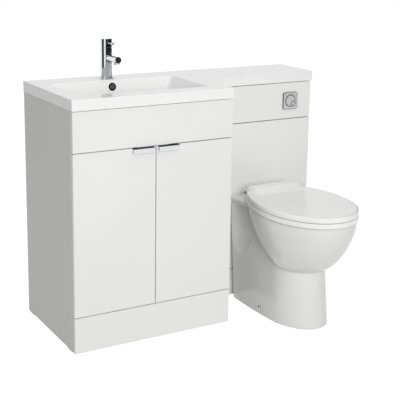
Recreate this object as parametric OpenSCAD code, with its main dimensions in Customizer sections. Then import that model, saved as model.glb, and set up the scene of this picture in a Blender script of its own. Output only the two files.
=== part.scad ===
// Toilet and basin combination unit: a vanity cabinet with an inset basin, a shallower
// cistern cabinet beside it under one L-shaped top, and a back-to-wall pan in front of that.
// Origin: on the floor, under the middle of the whole unit. +Z up, -Y towards the user.

/* [Overall] */
// Width of the vanity cabinet
vanity_w = 600; // [540:10:700]
// Depth of the vanity cabinet, door faces to wall
vanity_d = 438; // [430:2:480]
// Width of the cistern cabinet
wc_w = 495; // [460:5:560]
// Depth of the cistern cabinet, panel face to wall
wc_d = 216; // [210:2:240]
// Height of both cabinets, under the top
cabinet_h = 824; // [810:2:860]
// Reach of the closed seat lid in front of the cistern cabinet
pan_reach = 544; // [536:2:560]

/* [Boards] */
// Thickness of carcass boards
board_t = 15; // [15:1:18]
// Thickness of doors, fascia, plinths and WC panels
front_t = 16; // [16:1:18]
// Height of the vanity plinth line above the floor
plinth_h = 127; // [110:1:140]
// Height of the fascia, from the line over the doors to the top
fascia_h = 138; // [134:1:154]
// Height of the WC plinth line above the floor
wc_plinth_h = 108; // [104:1:110]
// Height of the upper WC panel, from the line under it to the top
wc_upper_h = 143; // [134:1:154]
// Width of the visible joints between fronts
front_gap = 3; // [2:0.5:4]
// Setback of the fronts from the cabinet's outer faces
front_inset = 1; // [0.5:0.5:2]
// Gap between a closed door and the carcass edge
door_gap = 3.5; // [3.5:0.5:5]
// Clearance of the plinths above the floor
plinth_lift = 1.5; // [1:0.5:3]
// Height of the top and bottom rear rails
rail_h = 100; // [80:5:110]
// Height of the shelf's underside
shelf_z = 405; // [300:5:480]
// Setback of the shelf from the carcass edge
shelf_setback = 25; // [15:5:60]
// Free space behind the shelf for pipes
shelf_rear = 75; // [60:5:120]
// Radius of the shelf pins
shelf_pin_r = 2.5; // [2:0.5:4]
// Thickness of the floor glides
glide_h = 3.5; // [3:0.5:5]
// Length of a floor glide
glide_l = 46; // [30:2:50]
// Radius of the dowels
dowel_r = 4; // [3:0.5:5]
// Length of the dowels
dowel_l = 30; // [24:2:34]
// Radius of the screw shanks
screw_r = 2; // [1.5:0.25:2.5]

/* [Top and basin] */
// Height of the edge of the top
top_t = 38; // [34:1:44]
// Thickness of the top inside its edge
deck_t = 16; // [14:1:20]
// Overhang of the top past the vanity's left side
top_side = 2; // [1:0.5:6]
// Overhang of the top past the cistern cabinet's right side
top_right = 7; // [1:1:12]
// Overhang of the top in front of the doors
top_front = 4; // [2:1:8]
// Radius of the inner corner of the top
top_fillet = 22; // [10:1:40]
// Distance of the bowl's centre line from the vanity's left face
bowl_x = 294; // [284:1:330]
// Width of the bowl at its rim
bowl_w = 486; // [420:2:490]
// Depth of the bowl at its rim, front to back
bowl_l = 278; // [260:2:284]
// Width of the rim in front of the bowl
bowl_front = 60; // [50:1:64]
// Depth of the bowl below the rim
bowl_d = 100; // [90:2:110]
// Slope of the bowl's end walls, over its whole depth
bowl_end_slope = 52; // [20:2:60]
// Slope of the bowl's front and rear walls, over its whole depth
bowl_side_slope = 15; // [8:1:24]
// Thickness of the bowl's wall
bowl_wall = 12; // [10:1:14]
// Radius of the overflow hole
overflow_r = 11; // [9:0.5:12]
// Depth of the overflow's centre below the rim
overflow_z = 26; // [24:1:34]

/* [Waste] */
// Radius of the waste's threaded tube
waste_r = 20.9; // [20:0.1:21]
// Radius of the waste's flange
waste_flange_r = 31.5; // [29:0.5:34]
// Length of the waste under the bowl's floor
waste_l = 72; // [66:2:80]
// Travel of the click waste's cover
plug_travel = 8; // [6:0.5:10]
// Radius of the bottle of the trap
bottle_r = 30; // [28:1:36]
// Drop of the trap's outlet pipe below the bowl
trap_drop = 130; // [120:2:150]
// Outer radius of the waste pipe
waste_pipe_r = 16; // [14:0.5:17]

/* [Tap] */
// Distance of the tap's axis behind the bowl's rim
tap_back = 46; // [42:1:50]
// Radius of the tap's body
tap_r = 22; // [20:0.5:24]
// Height of the tap above the top
tap_h = 143; // [130:1:160]
// Height of the turning cap
cap_h = 31; // [29:1:34]
// Reach of the spout from the tap's axis
spout_reach = 103; // [90:1:120]
// Height of the spout's axis above the top
spout_z = 76; // [70:1:80]
// Radius of the spout
spout_r = 11; // [10:0.5:12]
// Reach of the pin lever from the tap's axis
lever_reach = 62; // [50:1:80]
// Radius of the pin lever
lever_r = 3.5; // [3:0.25:4]
// Radius of the two threaded inlets
inlet_r = 4.5; // [4:0.25:5]

/* [Door furniture] */
// Width of an edge pull
pull_w = 80; // [60:1:120]
// Height of the pull's front lip
pull_h = 16; // [14:1:24]
// Distance that the pull stands in front of its door
pull_reach = 10; // [8:1:20]
// Thickness of the pull's metal
pull_t = 1.8; // [1.6:0.1:2.5]
// Distance of the pull from the door's free edge
pull_inset = 6; // [2:1:30]
// Radius of the hinge cups
cup_r = 17.5; // [17.5:0.5:18.5]
// Depth of the hinge cups
cup_d = 12.5; // [12:0.1:13]
// Distance of a hinge's centre from the door's end
hinge_inset = 95; // [80:5:130]

/* [Cistern] */
// Width of the cistern
tank_w = 360; // [320:5:400]
// Depth of the cistern
tank_d = 140; // [130:2:150]
// Space over the cistern, under the cabinet's top
tank_gap = 34; // [30:1:44]
// Height of the cistern's underside
tank_z = 470; // [465:1:480]
// Wall of the cistern
tank_wall = 4; // [3:0.5:5]
// Radius of the flush pipe
flush_pipe_r = 22; // [20:0.5:24]
// Radius of the cistern's supply thread
supply_r = 10.5; // [9:0.25:11]
// Travel of the float on its stem
float_travel = 70; // [50:5:80]
// Lift of the flush valve
valve_lift = 10; // [8:1:14]

/* [Flush plate] */
// Width of the flush plate
plate_w = 66; // [64:1:90]
// Height of the flush plate
plate_h = 66; // [64:1:80]
// Distance of the plate's centre from the cabinet's right face
plate_x = 98; // [80:1:140]
// Distance of the plate's centre below the cabinet's top
plate_drop = 72; // [64:1:79]
// Radius of the large button
button_r = 22; // [20:0.5:23]
// Radius of the small button
small_r = 9.5; // [8:0.5:10]
// Travel of both buttons
button_travel = 5; // [3:0.5:6]

/* [Pan] */
// Height of the pan's rim
rim_z = 405; // [400:1:420]
// Distance of the pan's centre line from the vanity
pan_off = 250; // [236:2:254]
// Half width of the seat and lid
seat_hw = 168; // [162:1:176]
// Half width of the pan's foot at the floor
foot_hw = 108; // [100:1:112]
// Half width of the pan's ledge behind the seat
ledge_hw = 118; // [112:1:124]
// Distance of the pan's foot behind the lid's front
foot_back = 114; // [104:2:130]
// Height of the waste outlet's axis
outlet_z = 180; // [176:1:190]
// Outer radius of the pan's outlet
outlet_r = 51; // [50:0.5:52]
// Height of the flush inlet's axis
inlet_z = 335; // [330:1:345]
// Distance of the seat hinge from the cistern cabinet
hinge_back = 72; // [68:1:76]
// Distance between the seat's two fixings
seat_fix = 155; // [150:1:160]
// Thickness of the seat ring
seat_t = 18; // [16:1:20]
// Thickness of the lid at its front
lid_t = 20; // [18:1:24]
// Gap between the pan's rim and the seat
seat_gap = 3; // [3:0.5:4]
// Gap between the seat and the lid
lid_gap = 2; // [1.5:0.5:3]

/* [Fits] */
// Running clearance of a pin in its bore
run_fit = 0.05; // [0.03:0.01:0.08]
// Clearance of fixed inserts, screws and dowels
fix_fit = 0.1; // [0.05:0.05:0.3]
// Clearance between pieces that slip into each other
slip_fit = 0.3; // [0.3:0.05:0.6]

/* [Hidden] */
$fn = 48;

// Cabinet planes
wall_y = (wc_d + pan_reach) / 2;
door_y = wall_y - vanity_d;
back_y = door_y + front_t;
edge_y = back_y + door_gap;
wc_y = wall_y - wc_d;
wc_edge_y = wc_y + front_t;
left_x = -(vanity_w + wc_w + top_right - top_side) / 2;
split_x = left_x + vanity_w;
right_x = split_x + wc_w;
top_z = cabinet_h + top_t;
joint = front_gap / 2;
fascia_z = cabinet_h - fascia_h;
wc_panel_z = cabinet_h - wc_upper_h;

// Doors and hinges: the pivot lies inside the cup, so that the door's edge clears the side
door_low = plinth_h + joint;
door_high = fascia_z - joint;
door_x0 = left_x + front_inset;
door_mid = (left_x + split_x) / 2;
cup_edge = 4;
cup_u = front_inset + cup_edge + cup_r;
pivot_u = cup_u - 13.5;
pivot_v = 9;
pivot_r = 1.3;
knuckle_r = 2.2;
knuckle_h = 8;
pivot_l = 18.4;
arm_w = 12;
arm_t = 2;
arm_u = 20;
arm_reach = 60;
hinge_z = [door_low + hinge_inset, door_high - hinge_inset];
notch_d = 4;

// Bowl, waste and tap
bowl_cx = left_x + bowl_x;
bowl_y0 = door_y + bowl_front;
bowl_y1 = bowl_y0 + bowl_l;
bowl_cy = (bowl_y0 + bowl_y1) / 2;
bowl_z = top_z - bowl_d;
bowl_under = bowl_z - bowl_wall;
bowl_edge = 32;
flange_t = 2;
waste_low = bowl_under - waste_l;
plug_r = waste_flange_r - 1.5;
stem_r = 5;
guide_z = waste_low + 20;
guide_h = 8;
tap_y = bowl_y1 + tap_back;
deck_under = top_z - deck_t;
tap_foot_r = tap_r + 5;
tap_hole_r = 17.5;
shank_r = 16;
cap_z = top_z + tap_h - cap_h;
cap_groove = 1.2;
lever_z = cap_z + 17;
barrel_r = 6;
barrel_l = 16;
trunnion_r = 2.5;
spindle_r = 5;
cartridge_r = 17.5;
cartridge_l = 24;
aerator_r = 10;
waste_bottle_top = waste_low + 10;
waste_pipe_z = bowl_under - trap_drop;
cup_top = waste_pipe_z - 32;

// Cistern and flush
tank_x = split_x + pan_off;
tank_y1 = wall_y - board_t;
tank_y0 = tank_y1 - tank_d;
tank_cy = (tank_y0 + tank_y1) / 2;
tank_h = cabinet_h - tank_gap - tank_z;
spigot_r = flush_pipe_r + 7;
spigot_l = 22;
flush_t = 2;
bend_r = 40;
fill_x = tank_x - tank_w / 2 + 50;
column_r = 12;
float_h = 50;
float_r = 30;
float_stop = tank_z + tank_h - 90;
float_z = float_stop - 0.5 - float_travel - float_h;
cage_r = 30;
cage_h = tank_h - 160;
tube_top = tank_z + tank_h - 80;
piston_r = 25;
overflow_tube_r = 12;
plate_cx = right_x - plate_x;
plate_z = cabinet_h - plate_drop;
plate_t = 5;
button_gap = 0.6;
small_dx = 14.5;
small_dz = -12;
stem_l = 34;
housing_r = norm([small_dx, small_dz]) + small_r + 2.7;
housing_l = stem_l + button_travel + 6;

// Pan
pan_x = split_x + pan_off;
pan_back = wc_y - 2;
lid_front = wc_y - pan_reach;
rim_front = lid_front + 3;
seat_mid = lid_front + 220;
rim_hw = seat_hw - 3;
ledge_t = 22;
foot_front = lid_front + foot_back;
foot_mid = foot_front + 160;
foot_bulge = 3;
foot_corner = 40;
bowl_low_z = 214;
cone_r = 28;
cone_l = 34;
hinge_y = wc_y - hinge_back;
seat_z = rim_z + seat_gap;
lid_z = seat_z + seat_t + lid_gap;
hinge_pin_z = rim_z + 24;
hinge_pin_r = 4;
knuckle = 9;
post_hw = 6;
ear_w = 11;
ear_gap = 0.5;
seat_rear_y = hinge_y - 17;
seat_rear_a = (seat_rear_y - seat_mid) / 0.81;
bowl_rear = pan_back - 37 - seat_mid;
inner_rear = seat_rear_y - 105 - seat_mid;
stud_r = 4;
bracket_z = 29;
side_screw_y = foot_front + 217;
connector_r = outlet_r + slip_fit + 5;
soil_r = connector_r - 1.3;
socket_l = 50;

// Colours
white_board = [0.94, 0.94, 0.93];
inner_board = [0.90, 0.90, 0.88];
ceramic = [0.95, 0.95, 0.94];
chrome = [0.78, 0.79, 0.81];
steel = [0.62, 0.63, 0.65];
dark = [0.18, 0.18, 0.19];
plastic = [0.88, 0.88, 0.86];
rubber_black = [0.12, 0.12, 0.12];
beech = [0.80, 0.66, 0.46];

// ---------------------------------------------------------------- helpers
module block(x0, x1, y0, y1, z0, z1) {
    translate([x0, y0, z0]) cube([x1 - x0, y1 - y0, z1 - z0]);
}

module rod_x(x0, x1, y, z, r) {
    translate([x0, y, z]) rotate([0, 90, 0]) cylinder(h = x1 - x0, r = r);
}

module rod_y(x, y0, y1, z, r) {
    translate([x, y1, z]) rotate([90, 0, 0]) cylinder(h = y1 - y0, r = r);
}

module rod_z(x, y, z0, z1, r) {
    translate([x, y, z0]) cylinder(h = z1 - z0, r = r);
}

module pipe_z(x, y, z0, z1, r, bore) {
    difference() {
        rod_z(x, y, z0, z1, r);
        rod_z(x, y, z0 - 1, z1 + 1, bore);
    }
}

// Reflects what it holds about the vanity's middle plane
module mirrored() {
    translate([door_mid, 0, 0]) mirror([1, 0, 0]) translate([-door_mid, 0, 0]) children();
}

// Solid through a list of equal rings of points, lowest ring first
module loft(rings) {
    n = len(rings[0]);
    sides = [
        for (k = [0 : len(rings) - 2]) for (i = [0 : n - 1])
            each [
                [k * n + i, (k + 1) * n + i, (k + 1) * n + (i + 1) % n],
                [k * n + i, (k + 1) * n + (i + 1) % n, k * n + (i + 1) % n]
            ]
    ];
    low = [for (i = [0 : n - 1]) i];
    high = [for (i = [n - 1 : -1 : 0]) (len(rings) - 1) * n + i];
    polyhedron(points = [for (r = rings) each r], faces = concat(sides, [low], [high]));
}

// ---------------------------------------------------------------- joints of the boards
// A dowel is [x of the joint, +1 or -1 towards the rail, y, z]
function ends(x0, x1, places) = [for (p = places) each [[x0, 1, p[0], p[1]], [x1, -1, p[0], p[1]]]];

rail_mid = board_t / 2;
rail_z = [cabinet_h - rail_h + 25, cabinet_h - 25];
low_rail_z = [plinth_h + board_t + 25, plinth_h + board_t + rail_h - 45];
wc_low_rail_z = [35, 85];
wc_front_rail_z = [wc_panel_z - 30, wc_panel_z];
floor_mid_z = plinth_h + rail_mid;

vanity_dowels = ends(left_x + board_t, split_x - board_t, concat(
    [for (y = [edge_y + 60, wall_y - 60]) [y, floor_mid_z]],
    [for (z = rail_z) [back_y + rail_mid, z]],
    [for (z = concat(rail_z, low_rail_z)) [wall_y - rail_mid, z]]
));
wc_dowels = ends(split_x + board_t, right_x - board_t, concat(
    [for (z = wc_front_rail_z) [wc_edge_y + rail_mid, z]],
    [for (z = concat(rail_z, wc_low_rail_z)) [wall_y - rail_mid, z]]
));

module dowel_set(grow = 0) {
    for (d = concat(vanity_dowels, wc_dowels)) {
        cx = d[0] + d[1] * 4;
        half = dowel_l / 2 + grow;
        rod_x(cx - half, cx + half, d[2], d[3], dowel_r + grow);
    }
}

module dowels() {
    color(beech) dowel_set();
}

// Screws along X: [x of the head's seat, direction, y, z, length]
hinge_screw_u = arm_reach - 22;
hinge_screws = [
    for (z = hinge_z) for (v = [hinge_screw_u, hinge_screw_u + 14])
        [left_x + board_t + arm_t, -1, back_y + v, z, 13]
];
join_screws = [
    for (y = [wc_edge_y + 40, wall_y - 40]) for (z = [240, 520])
        [split_x - board_t, 1, y, z, 26]
];

module screw_x(s, grow = 0) {
    tip = s[0] + s[1] * (s[4] + grow);
    rod_x(min(s[0], tip), max(s[0], tip), s[2], s[3], screw_r + grow);
    head = s[0] - s[1] * 2;
    if (grow == 0)
        rod_x(min(s[0], head), max(s[0], head), s[2], s[3], 2 * screw_r);
}

// Screws along Y: [x, y of the head's seat, direction, z, length]
fascia_screws = [
    for (x = [left_x + 120, split_x - 120]) for (z = [cabinet_h - 80, cabinet_h - 20])
        [x, back_y + board_t, -1, z, board_t + 11]
];
tank_screws = [
    for (x = [tank_x - 100, tank_x + 100]) [x, tank_y1 - tank_wall, 1, tank_z + tank_h - 35, 15]
];

module screw_y(s, grow = 0) {
    tip = s[1] + s[2] * (s[4] + grow);
    rod_y(s[0], min(s[1], tip), max(s[1], tip), s[3], screw_r + grow);
    head = s[1] - s[2] * 2;
    if (grow == 0)
        rod_y(s[0], min(s[1], head), max(s[1], head), s[3], 2 * screw_r);
}

module screw_set(grow = 0) {
    for (s = hinge_screws) {
        screw_x(s, grow);
        mirrored() screw_x(s, grow);
    }
    for (s = join_screws) screw_x(s, grow);
    for (s = concat(fascia_screws, tank_screws)) screw_y(s, grow);
}

module carcass_screws() {
    color(steel) screw_set();
}

// ---------------------------------------------------------------- vanity carcass
module glide_places() {
    for (x = [left_x + rail_mid, split_x - rail_mid]) for (y = [edge_y + glide_l / 2 + 4, wall_y - glide_l / 2 - 6])
        translate([x, y, 0]) children();
    for (x = [split_x + rail_mid, right_x - rail_mid]) for (y = [wc_edge_y + glide_l / 2 + 4, wall_y - glide_l / 2 - 6])
        translate([x, y, 0]) children();
}

glide_r = board_t / 2 - 1;
nail_r = 1.5;
nail_l = 12;

module glides() {
    color(dark) glide_places() {
        for (s = [-1, 1]) translate([0, s * (glide_l / 2 - glide_r), 0]) cylinder(h = glide_h, r = glide_r);
        translate([-glide_r, -glide_l / 2 + glide_r, 0]) cube([2 * glide_r, glide_l - 2 * glide_r, glide_h]);
        cylinder(h = glide_h + nail_l, r = nail_r);
    }
}

module glide_nails() {
    glide_places() cylinder(h = glide_h + nail_l + 1, r = nail_r + fix_fit);
}

pin_in = 9;
pin_out = 10;
shelf_y0 = edge_y + shelf_setback;
shelf_y1 = wall_y - shelf_rear;

module shelf_pin_set(grow = 0) {
    for (x = [left_x + board_t, split_x - board_t]) for (y = [shelf_y0 + 40, shelf_y1 - 40]) {
        into = x < door_mid ? -1 : 1;
        x0 = x + into * (pin_in + grow);
        x1 = x - into * pin_out;
        rod_x(min(x0, x1), max(x0, x1), y, shelf_z - shelf_pin_r, shelf_pin_r + grow);
    }
}

module shelf_pins() {
    color(steel) shelf_pin_set();
}

module carcass_side(x, y0) {
    color(white_board) difference() {
        block(x, x + board_t, y0, wall_y, glide_h, cabinet_h);
        dowel_set(fix_fit);
        screw_set(fix_fit);
        glide_nails();
        shelf_pin_set(fix_fit);
    }
}

module side_left() { carcass_side(left_x, edge_y); }
module side_right() { carcass_side(split_x - board_t, edge_y); }

module floor_panel() {
    color(inner_board) difference() {
        block(left_x + board_t, split_x - board_t, edge_y, wall_y, plinth_h, plinth_h + board_t);
        dowel_set(fix_fit);
    }
}

module front_rail() {
    color(inner_board) difference() {
        block(left_x + board_t, split_x - board_t, back_y, back_y + board_t, cabinet_h - rail_h, cabinet_h);
        dowel_set(fix_fit);
        screw_set(fix_fit);
    }
}

// Holes for the screws that hold the unit to the wall
wall_hole_r = 3.5;
vanity_hole_in = 85;
wc_hole_in = 40;

module wall_holes(x0, x1, z) {
    for (x = [x0, x1]) rod_y(x, wall_y - board_t - 1, wall_y + 1, z, wall_hole_r);
}

module rear_rails() {
    color(inner_board) difference() {
        union() {
            block(left_x + board_t, split_x - board_t, wall_y - board_t, wall_y, cabinet_h - rail_h, cabinet_h);
            block(left_x + board_t, split_x - board_t, wall_y - board_t, wall_y,
                  plinth_h + board_t, plinth_h + board_t + rail_h - 20);
        }
        dowel_set(fix_fit);
        wall_holes(left_x + board_t + vanity_hole_in, split_x - board_t - vanity_hole_in, cabinet_h - rail_h / 2);
    }
}

module shelf() {
    color(inner_board) block(left_x + board_t + 1, split_x - board_t - 1, shelf_y0, shelf_y1, shelf_z, shelf_z + board_t);
}

module fascia() {
    color(white_board) difference() {
        block(left_x + front_inset, split_x - front_inset, door_y, back_y, fascia_z + joint, cabinet_h - 2);
        screw_set(fix_fit);
    }
}

module plinth() {
    color(white_board) block(left_x + front_inset, split_x - front_inset, door_y, back_y, plinth_lift, plinth_h - joint);
}

module plinth_blocks() {
    block_w = 40;
    block_h = 60;
    color(inner_board) for (x = [left_x + 100, split_x - 100])
        block(x - block_w / 2, x + block_w / 2, back_y, back_y + block_w, plinth_h - block_h, plinth_h);
}

// ---------------------------------------------------------------- doors
pull_x1 = door_mid - joint - pull_inset;
pull_x0 = pull_x1 - pull_w;
pivot_x = left_x + pivot_u;
pivot_y = back_y - pivot_v;

module pivot_pins(grow = 0) {
    for (z = hinge_z) rod_z(pivot_x, pivot_y, z - pivot_l / 2 - grow, z + pivot_l / 2 + grow, pivot_r + grow);
}

// Steel arm: a plate on the side, a crank round the carcass edge and a knuckle on the pivot pin
module hinge_arm(z) {
    plate_x = left_x + board_t;
    out_x = left_x + arm_u;
    difference() {
        union() {
            block(plate_x, plate_x + arm_t, back_y + arm_reach - 34, back_y + arm_reach, z - 18, z + 18);
            block(plate_x, plate_x + 2 * arm_t, back_y + 9, back_y + arm_reach - 28, z - arm_w / 2, z + arm_w / 2);
            block(plate_x, out_x + arm_t, back_y + 7, back_y + 9, z - arm_w / 2, z + arm_w / 2);
            block(out_x, out_x + arm_t, back_y - 1, back_y + 9, z - arm_w / 2, z + arm_w / 2);
            block(out_x, out_x + arm_t, pivot_y - 1, back_y, z - knuckle_h / 2, z + knuckle_h / 2);
            block(pivot_x, out_x + arm_t, pivot_y - 1, pivot_y + 1, z - knuckle_h / 2, z + knuckle_h / 2);
            rod_z(pivot_x, pivot_y, z - knuckle_h / 2, z + knuckle_h / 2, knuckle_r);
            rod_z(pivot_x, pivot_y, z - pivot_l / 2, z + pivot_l / 2, pivot_r);
        }
        screw_set(fix_fit);
    }
}

module hinge_arms() {
    color(steel) for (z = hinge_z) {
        hinge_arm(z);
        mirrored() hinge_arm(z);
    }
}

module cup_shape(z, r, depth) {
    rod_y(left_x + cup_u, back_y - depth, back_y, z, r);
}

cup_wall = 1;
ear_t = 1.2;

module hinge_cup(z) {
    peg_z = 24;
    difference() {
        union() {
            cup_shape(z, cup_r, cup_d);
            translate([left_x + cup_u, back_y + ear_t, z]) rotate([90, 0, 0]) linear_extrude(ear_t) {
                circle(r = cup_r);
                translate([-10, -30]) square([20, 60]);
            }
            for (s = [-1, 1]) rod_y(left_x + cup_u, back_y - 10, back_y, z + s * peg_z, 4);
        }
        rod_y(left_x + cup_u, back_y - cup_d + cup_wall, back_y + ear_t + 1, z, cup_r - cup_wall);
        pivot_pins(run_fit);
    }
}

module hinge_cups_left() { color(steel) for (z = hinge_z) hinge_cup(z); }
module hinge_cups_right() { mirrored() hinge_cups_left(); }

module door_board() {
    peg_z = 24;
    difference() {
        block(door_x0, door_mid - joint, door_y, back_y, door_low, door_high);
        block(pull_x0 - fix_fit, pull_x1 + fix_fit, door_y - 1, back_y + 1, door_high - notch_d, door_high + 1);
        for (z = hinge_z) {
            cup_shape(z, cup_r + fix_fit, cup_d + fix_fit);
            for (s = [-1, 1])
                rod_y(left_x + cup_u, back_y - 10 - fix_fit, back_y + 1, z + s * peg_z, 4 + fix_fit);
        }
    }
}

module door_left() { color(white_board) door_board(); }
module door_right() { color(white_board) mirrored() door_board(); }

// Edge pull: folded over the door's top, with a lip in front and a fixing flange behind
module edge_pull() {
    plate_z = door_high - notch_d;
    lip_y = door_y - pull_reach;
    block(pull_x0, pull_x1, lip_y, back_y + pull_t, plate_z, plate_z + pull_t);
    block(pull_x0, pull_x1, lip_y, lip_y + pull_t, plate_z + pull_t - pull_h, plate_z + pull_t);
    block(pull_x0, pull_x1, back_y, back_y + pull_t, plate_z - 18, plate_z + pull_t);
}

module pull_left() { color(chrome) edge_pull(); }
module pull_right() { color(chrome) mirrored() edge_pull(); }

// ---------------------------------------------------------------- top and basin
module top_outline() {
    ax = split_x + top_side;
    difference() {
        union() {
            translate([left_x - top_side, door_y - top_front])
                square([vanity_w + 2 * top_side, vanity_d + top_front]);
            translate([split_x, wc_y]) square([wc_w + top_right, wc_d]);
            translate([ax - 1, wc_y - top_fillet]) square([top_fillet + 1, top_fillet + 1]);
        }
        translate([ax + top_fillet, wc_y - top_fillet]) circle(r = top_fillet);
        translate([ax + top_fillet, wc_y - 2 * top_fillet]) square([1, top_fillet]);
    }
}

module bowl_hull(rim, floor_z, corner, edge) {
    x0 = bowl_cx - bowl_w / 2 - rim;
    x1 = bowl_cx + bowl_w / 2 + rim;
    ex = bowl_end_slope;
    ey = bowl_side_slope;
    hull() {
        for (x = [x0 + corner, x1 - corner]) for (y = [bowl_y0 - rim + corner, bowl_y1 + rim - corner])
            translate([x, y, top_z - 1]) cylinder(h = 2, r = corner, $fn = 24);
        for (x = [x0 + ex + edge, x1 - ex - edge]) for (y = [bowl_y0 - rim + ey + edge, bowl_y1 + rim - ey - edge])
            translate([x, y, floor_z + edge * cos(180 / 24)]) sphere(r = edge, $fn = 24);
    }
}

module basin_top() {
    skirt = board_t + top_side + 2;
    color(ceramic) difference() {
        union() {
            difference() {
                translate([0, 0, cabinet_h]) linear_extrude(top_t) top_outline();
                block(left_x + skirt, split_x - skirt, back_y + board_t + 4, wall_y - skirt - 3,
                      cabinet_h - 1, deck_under);
                block(split_x + skirt, right_x - skirt, wc_edge_y + 4, wall_y - skirt - 3,
                      cabinet_h - 1, deck_under);
            }
            intersection() {
                bowl_hull(bowl_wall, bowl_under, 28, bowl_edge + bowl_wall);
                block(left_x, split_x, door_y, wall_y, bowl_under, top_z);
            }
        }
        bowl_hull(0, bowl_z, 16, bowl_edge);
        rod_z(bowl_cx, tap_y, cabinet_h, top_z + 1, tap_hole_r);
        rod_z(bowl_cx, bowl_cy, bowl_under - 1, bowl_z + 1, waste_r + 1.5);
        overflow_at() translate([0, 0, -30]) cylinder(h = 32, r = overflow_r + fix_fit);
    }
}

// Places what it holds on the bowl's rear wall, which leans back, with +Z out of the wall
wall_run = bowl_side_slope + bowl_edge;
wall_drop = bowl_d - 1 - bowl_edge;
wall_tilt = atan2(wall_run, wall_drop) - asin(bowl_edge / norm([wall_run, wall_drop]));

module overflow_at() {
    translate([bowl_cx, bowl_y1 - (overflow_z - 1) * tan(wall_tilt), top_z - overflow_z])
        rotate([90 - wall_tilt, 0, 0]) children();
}

module overflow_ring() {
    rest = 0.2;
    color(chrome) overflow_at() difference() {
        union() {
            translate([0, 0, rest]) cylinder(h = 1.6, r = overflow_r + 4);
            translate([0, 0, -9]) cylinder(h = 10, r = overflow_r);
        }
        translate([0, 0, -10]) cylinder(h = 13, r = overflow_r - 3);
    }
}

module waste_body() {
    bore = waste_r - 4;
    color(chrome) difference() {
        union() {
            rod_z(bowl_cx, bowl_cy, bowl_z, bowl_z + flange_t, waste_flange_r);
            rod_z(bowl_cx, bowl_cy, waste_low, bowl_z + flange_t, waste_r);
        }
        difference() {
            rod_z(bowl_cx, bowl_cy, waste_low - 1, bowl_z + flange_t + 1, bore);
            intersection() {
                block(bowl_cx - bore - 1, bowl_cx + bore + 1, bowl_cy - stem_r - 2.5, bowl_cy + stem_r + 2.5,
                      guide_z, guide_z + guide_h);
                rod_z(bowl_cx, bowl_cy, guide_z, guide_z + guide_h, bore + 0.5);
            }
        }
        rod_z(bowl_cx, bowl_cy, guide_z - 1, guide_z + guide_h + 1, stem_r + run_fit);
    }
}

module waste_nut() {
    color(steel) difference() {
        translate([bowl_cx, bowl_cy, bowl_under - 11]) cylinder(h = 11, r = 31, $fn = 6);
        rod_z(bowl_cx, bowl_cy, bowl_under - 12, bowl_under + 1, waste_r + fix_fit);
    }
}

module waste_plug() {
    plug_z = bowl_z + flange_t + plug_travel + slip_fit;
    color(chrome) {
        rod_z(bowl_cx, bowl_cy, plug_z, plug_z + 3, plug_r);
        rod_z(bowl_cx, bowl_cy, plug_z + 3, plug_z + 4.5, plug_r - 2.5);
        rod_z(bowl_cx, bowl_cy, guide_z - 4, plug_z + 1, stem_r);
    }
}

// The pipe's end in the trap is turned down a little
trap_end_y = bowl_cy + bottle_r + 20;
pipe_end_r = waste_pipe_r - 0.5;

module trap_body() {
    neck = waste_r + slip_fit;
    color(chrome) difference() {
        union() {
            rod_z(bowl_cx, bowl_cy, waste_pipe_z + 20, waste_bottle_top, neck + 4);
            rod_z(bowl_cx, bowl_cy, waste_pipe_z + 16, waste_pipe_z + 24, bottle_r);
            rod_z(bowl_cx, bowl_cy, cup_top, waste_pipe_z + 24, bottle_r);
            rod_y(bowl_cx, bowl_cy, trap_end_y, waste_pipe_z, waste_pipe_r + 4);
        }
        rod_z(bowl_cx, bowl_cy, waste_pipe_z + 25, waste_bottle_top + 1, neck);
        rod_z(bowl_cx, bowl_cy, waste_pipe_z + 15, waste_pipe_z + 26, neck - 4);
        rod_z(bowl_cx, bowl_cy, cup_top - 1, waste_pipe_z + 20, bottle_r - 3);
        rod_y(bowl_cx, bowl_cy, trap_end_y - 16, waste_pipe_z, waste_pipe_r - 2);
        rod_y(bowl_cx, trap_end_y - 16, trap_end_y + 1, waste_pipe_z, pipe_end_r + fix_fit);
    }
}

module trap_cup() {
    cup_h = 44;
    color(chrome) difference() {
        union() {
            rod_z(bowl_cx, bowl_cy, cup_top - cup_h, cup_top, bottle_r);
            rod_z(bowl_cx, bowl_cy, cup_top - 10, cup_top, bottle_r + 2);
        }
        rod_z(bowl_cx, bowl_cy, cup_top - cup_h + 3, cup_top + 1, bottle_r - 3);
    }
}

module waste_pipe() {
    y0 = trap_end_y - 15;
    color(plastic) difference() {
        union() {
            rod_y(bowl_cx, y0, trap_end_y + 3, waste_pipe_z, pipe_end_r);
            rod_y(bowl_cx, trap_end_y + 2, wall_y, waste_pipe_z, waste_pipe_r);
        }
        rod_y(bowl_cx, y0 - 1, wall_y + 1, waste_pipe_z, waste_pipe_r - 2);
    }
}

// ---------------------------------------------------------------- tap
inlet_dx = 8;
stud_y = tap_y - 10;
stud_r_tap = 3;
shank_low = deck_under + 0.5;
nozzle_y = tap_y - spout_reach + 13;
nozzle_low = top_z + spout_z - 15;

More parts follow.
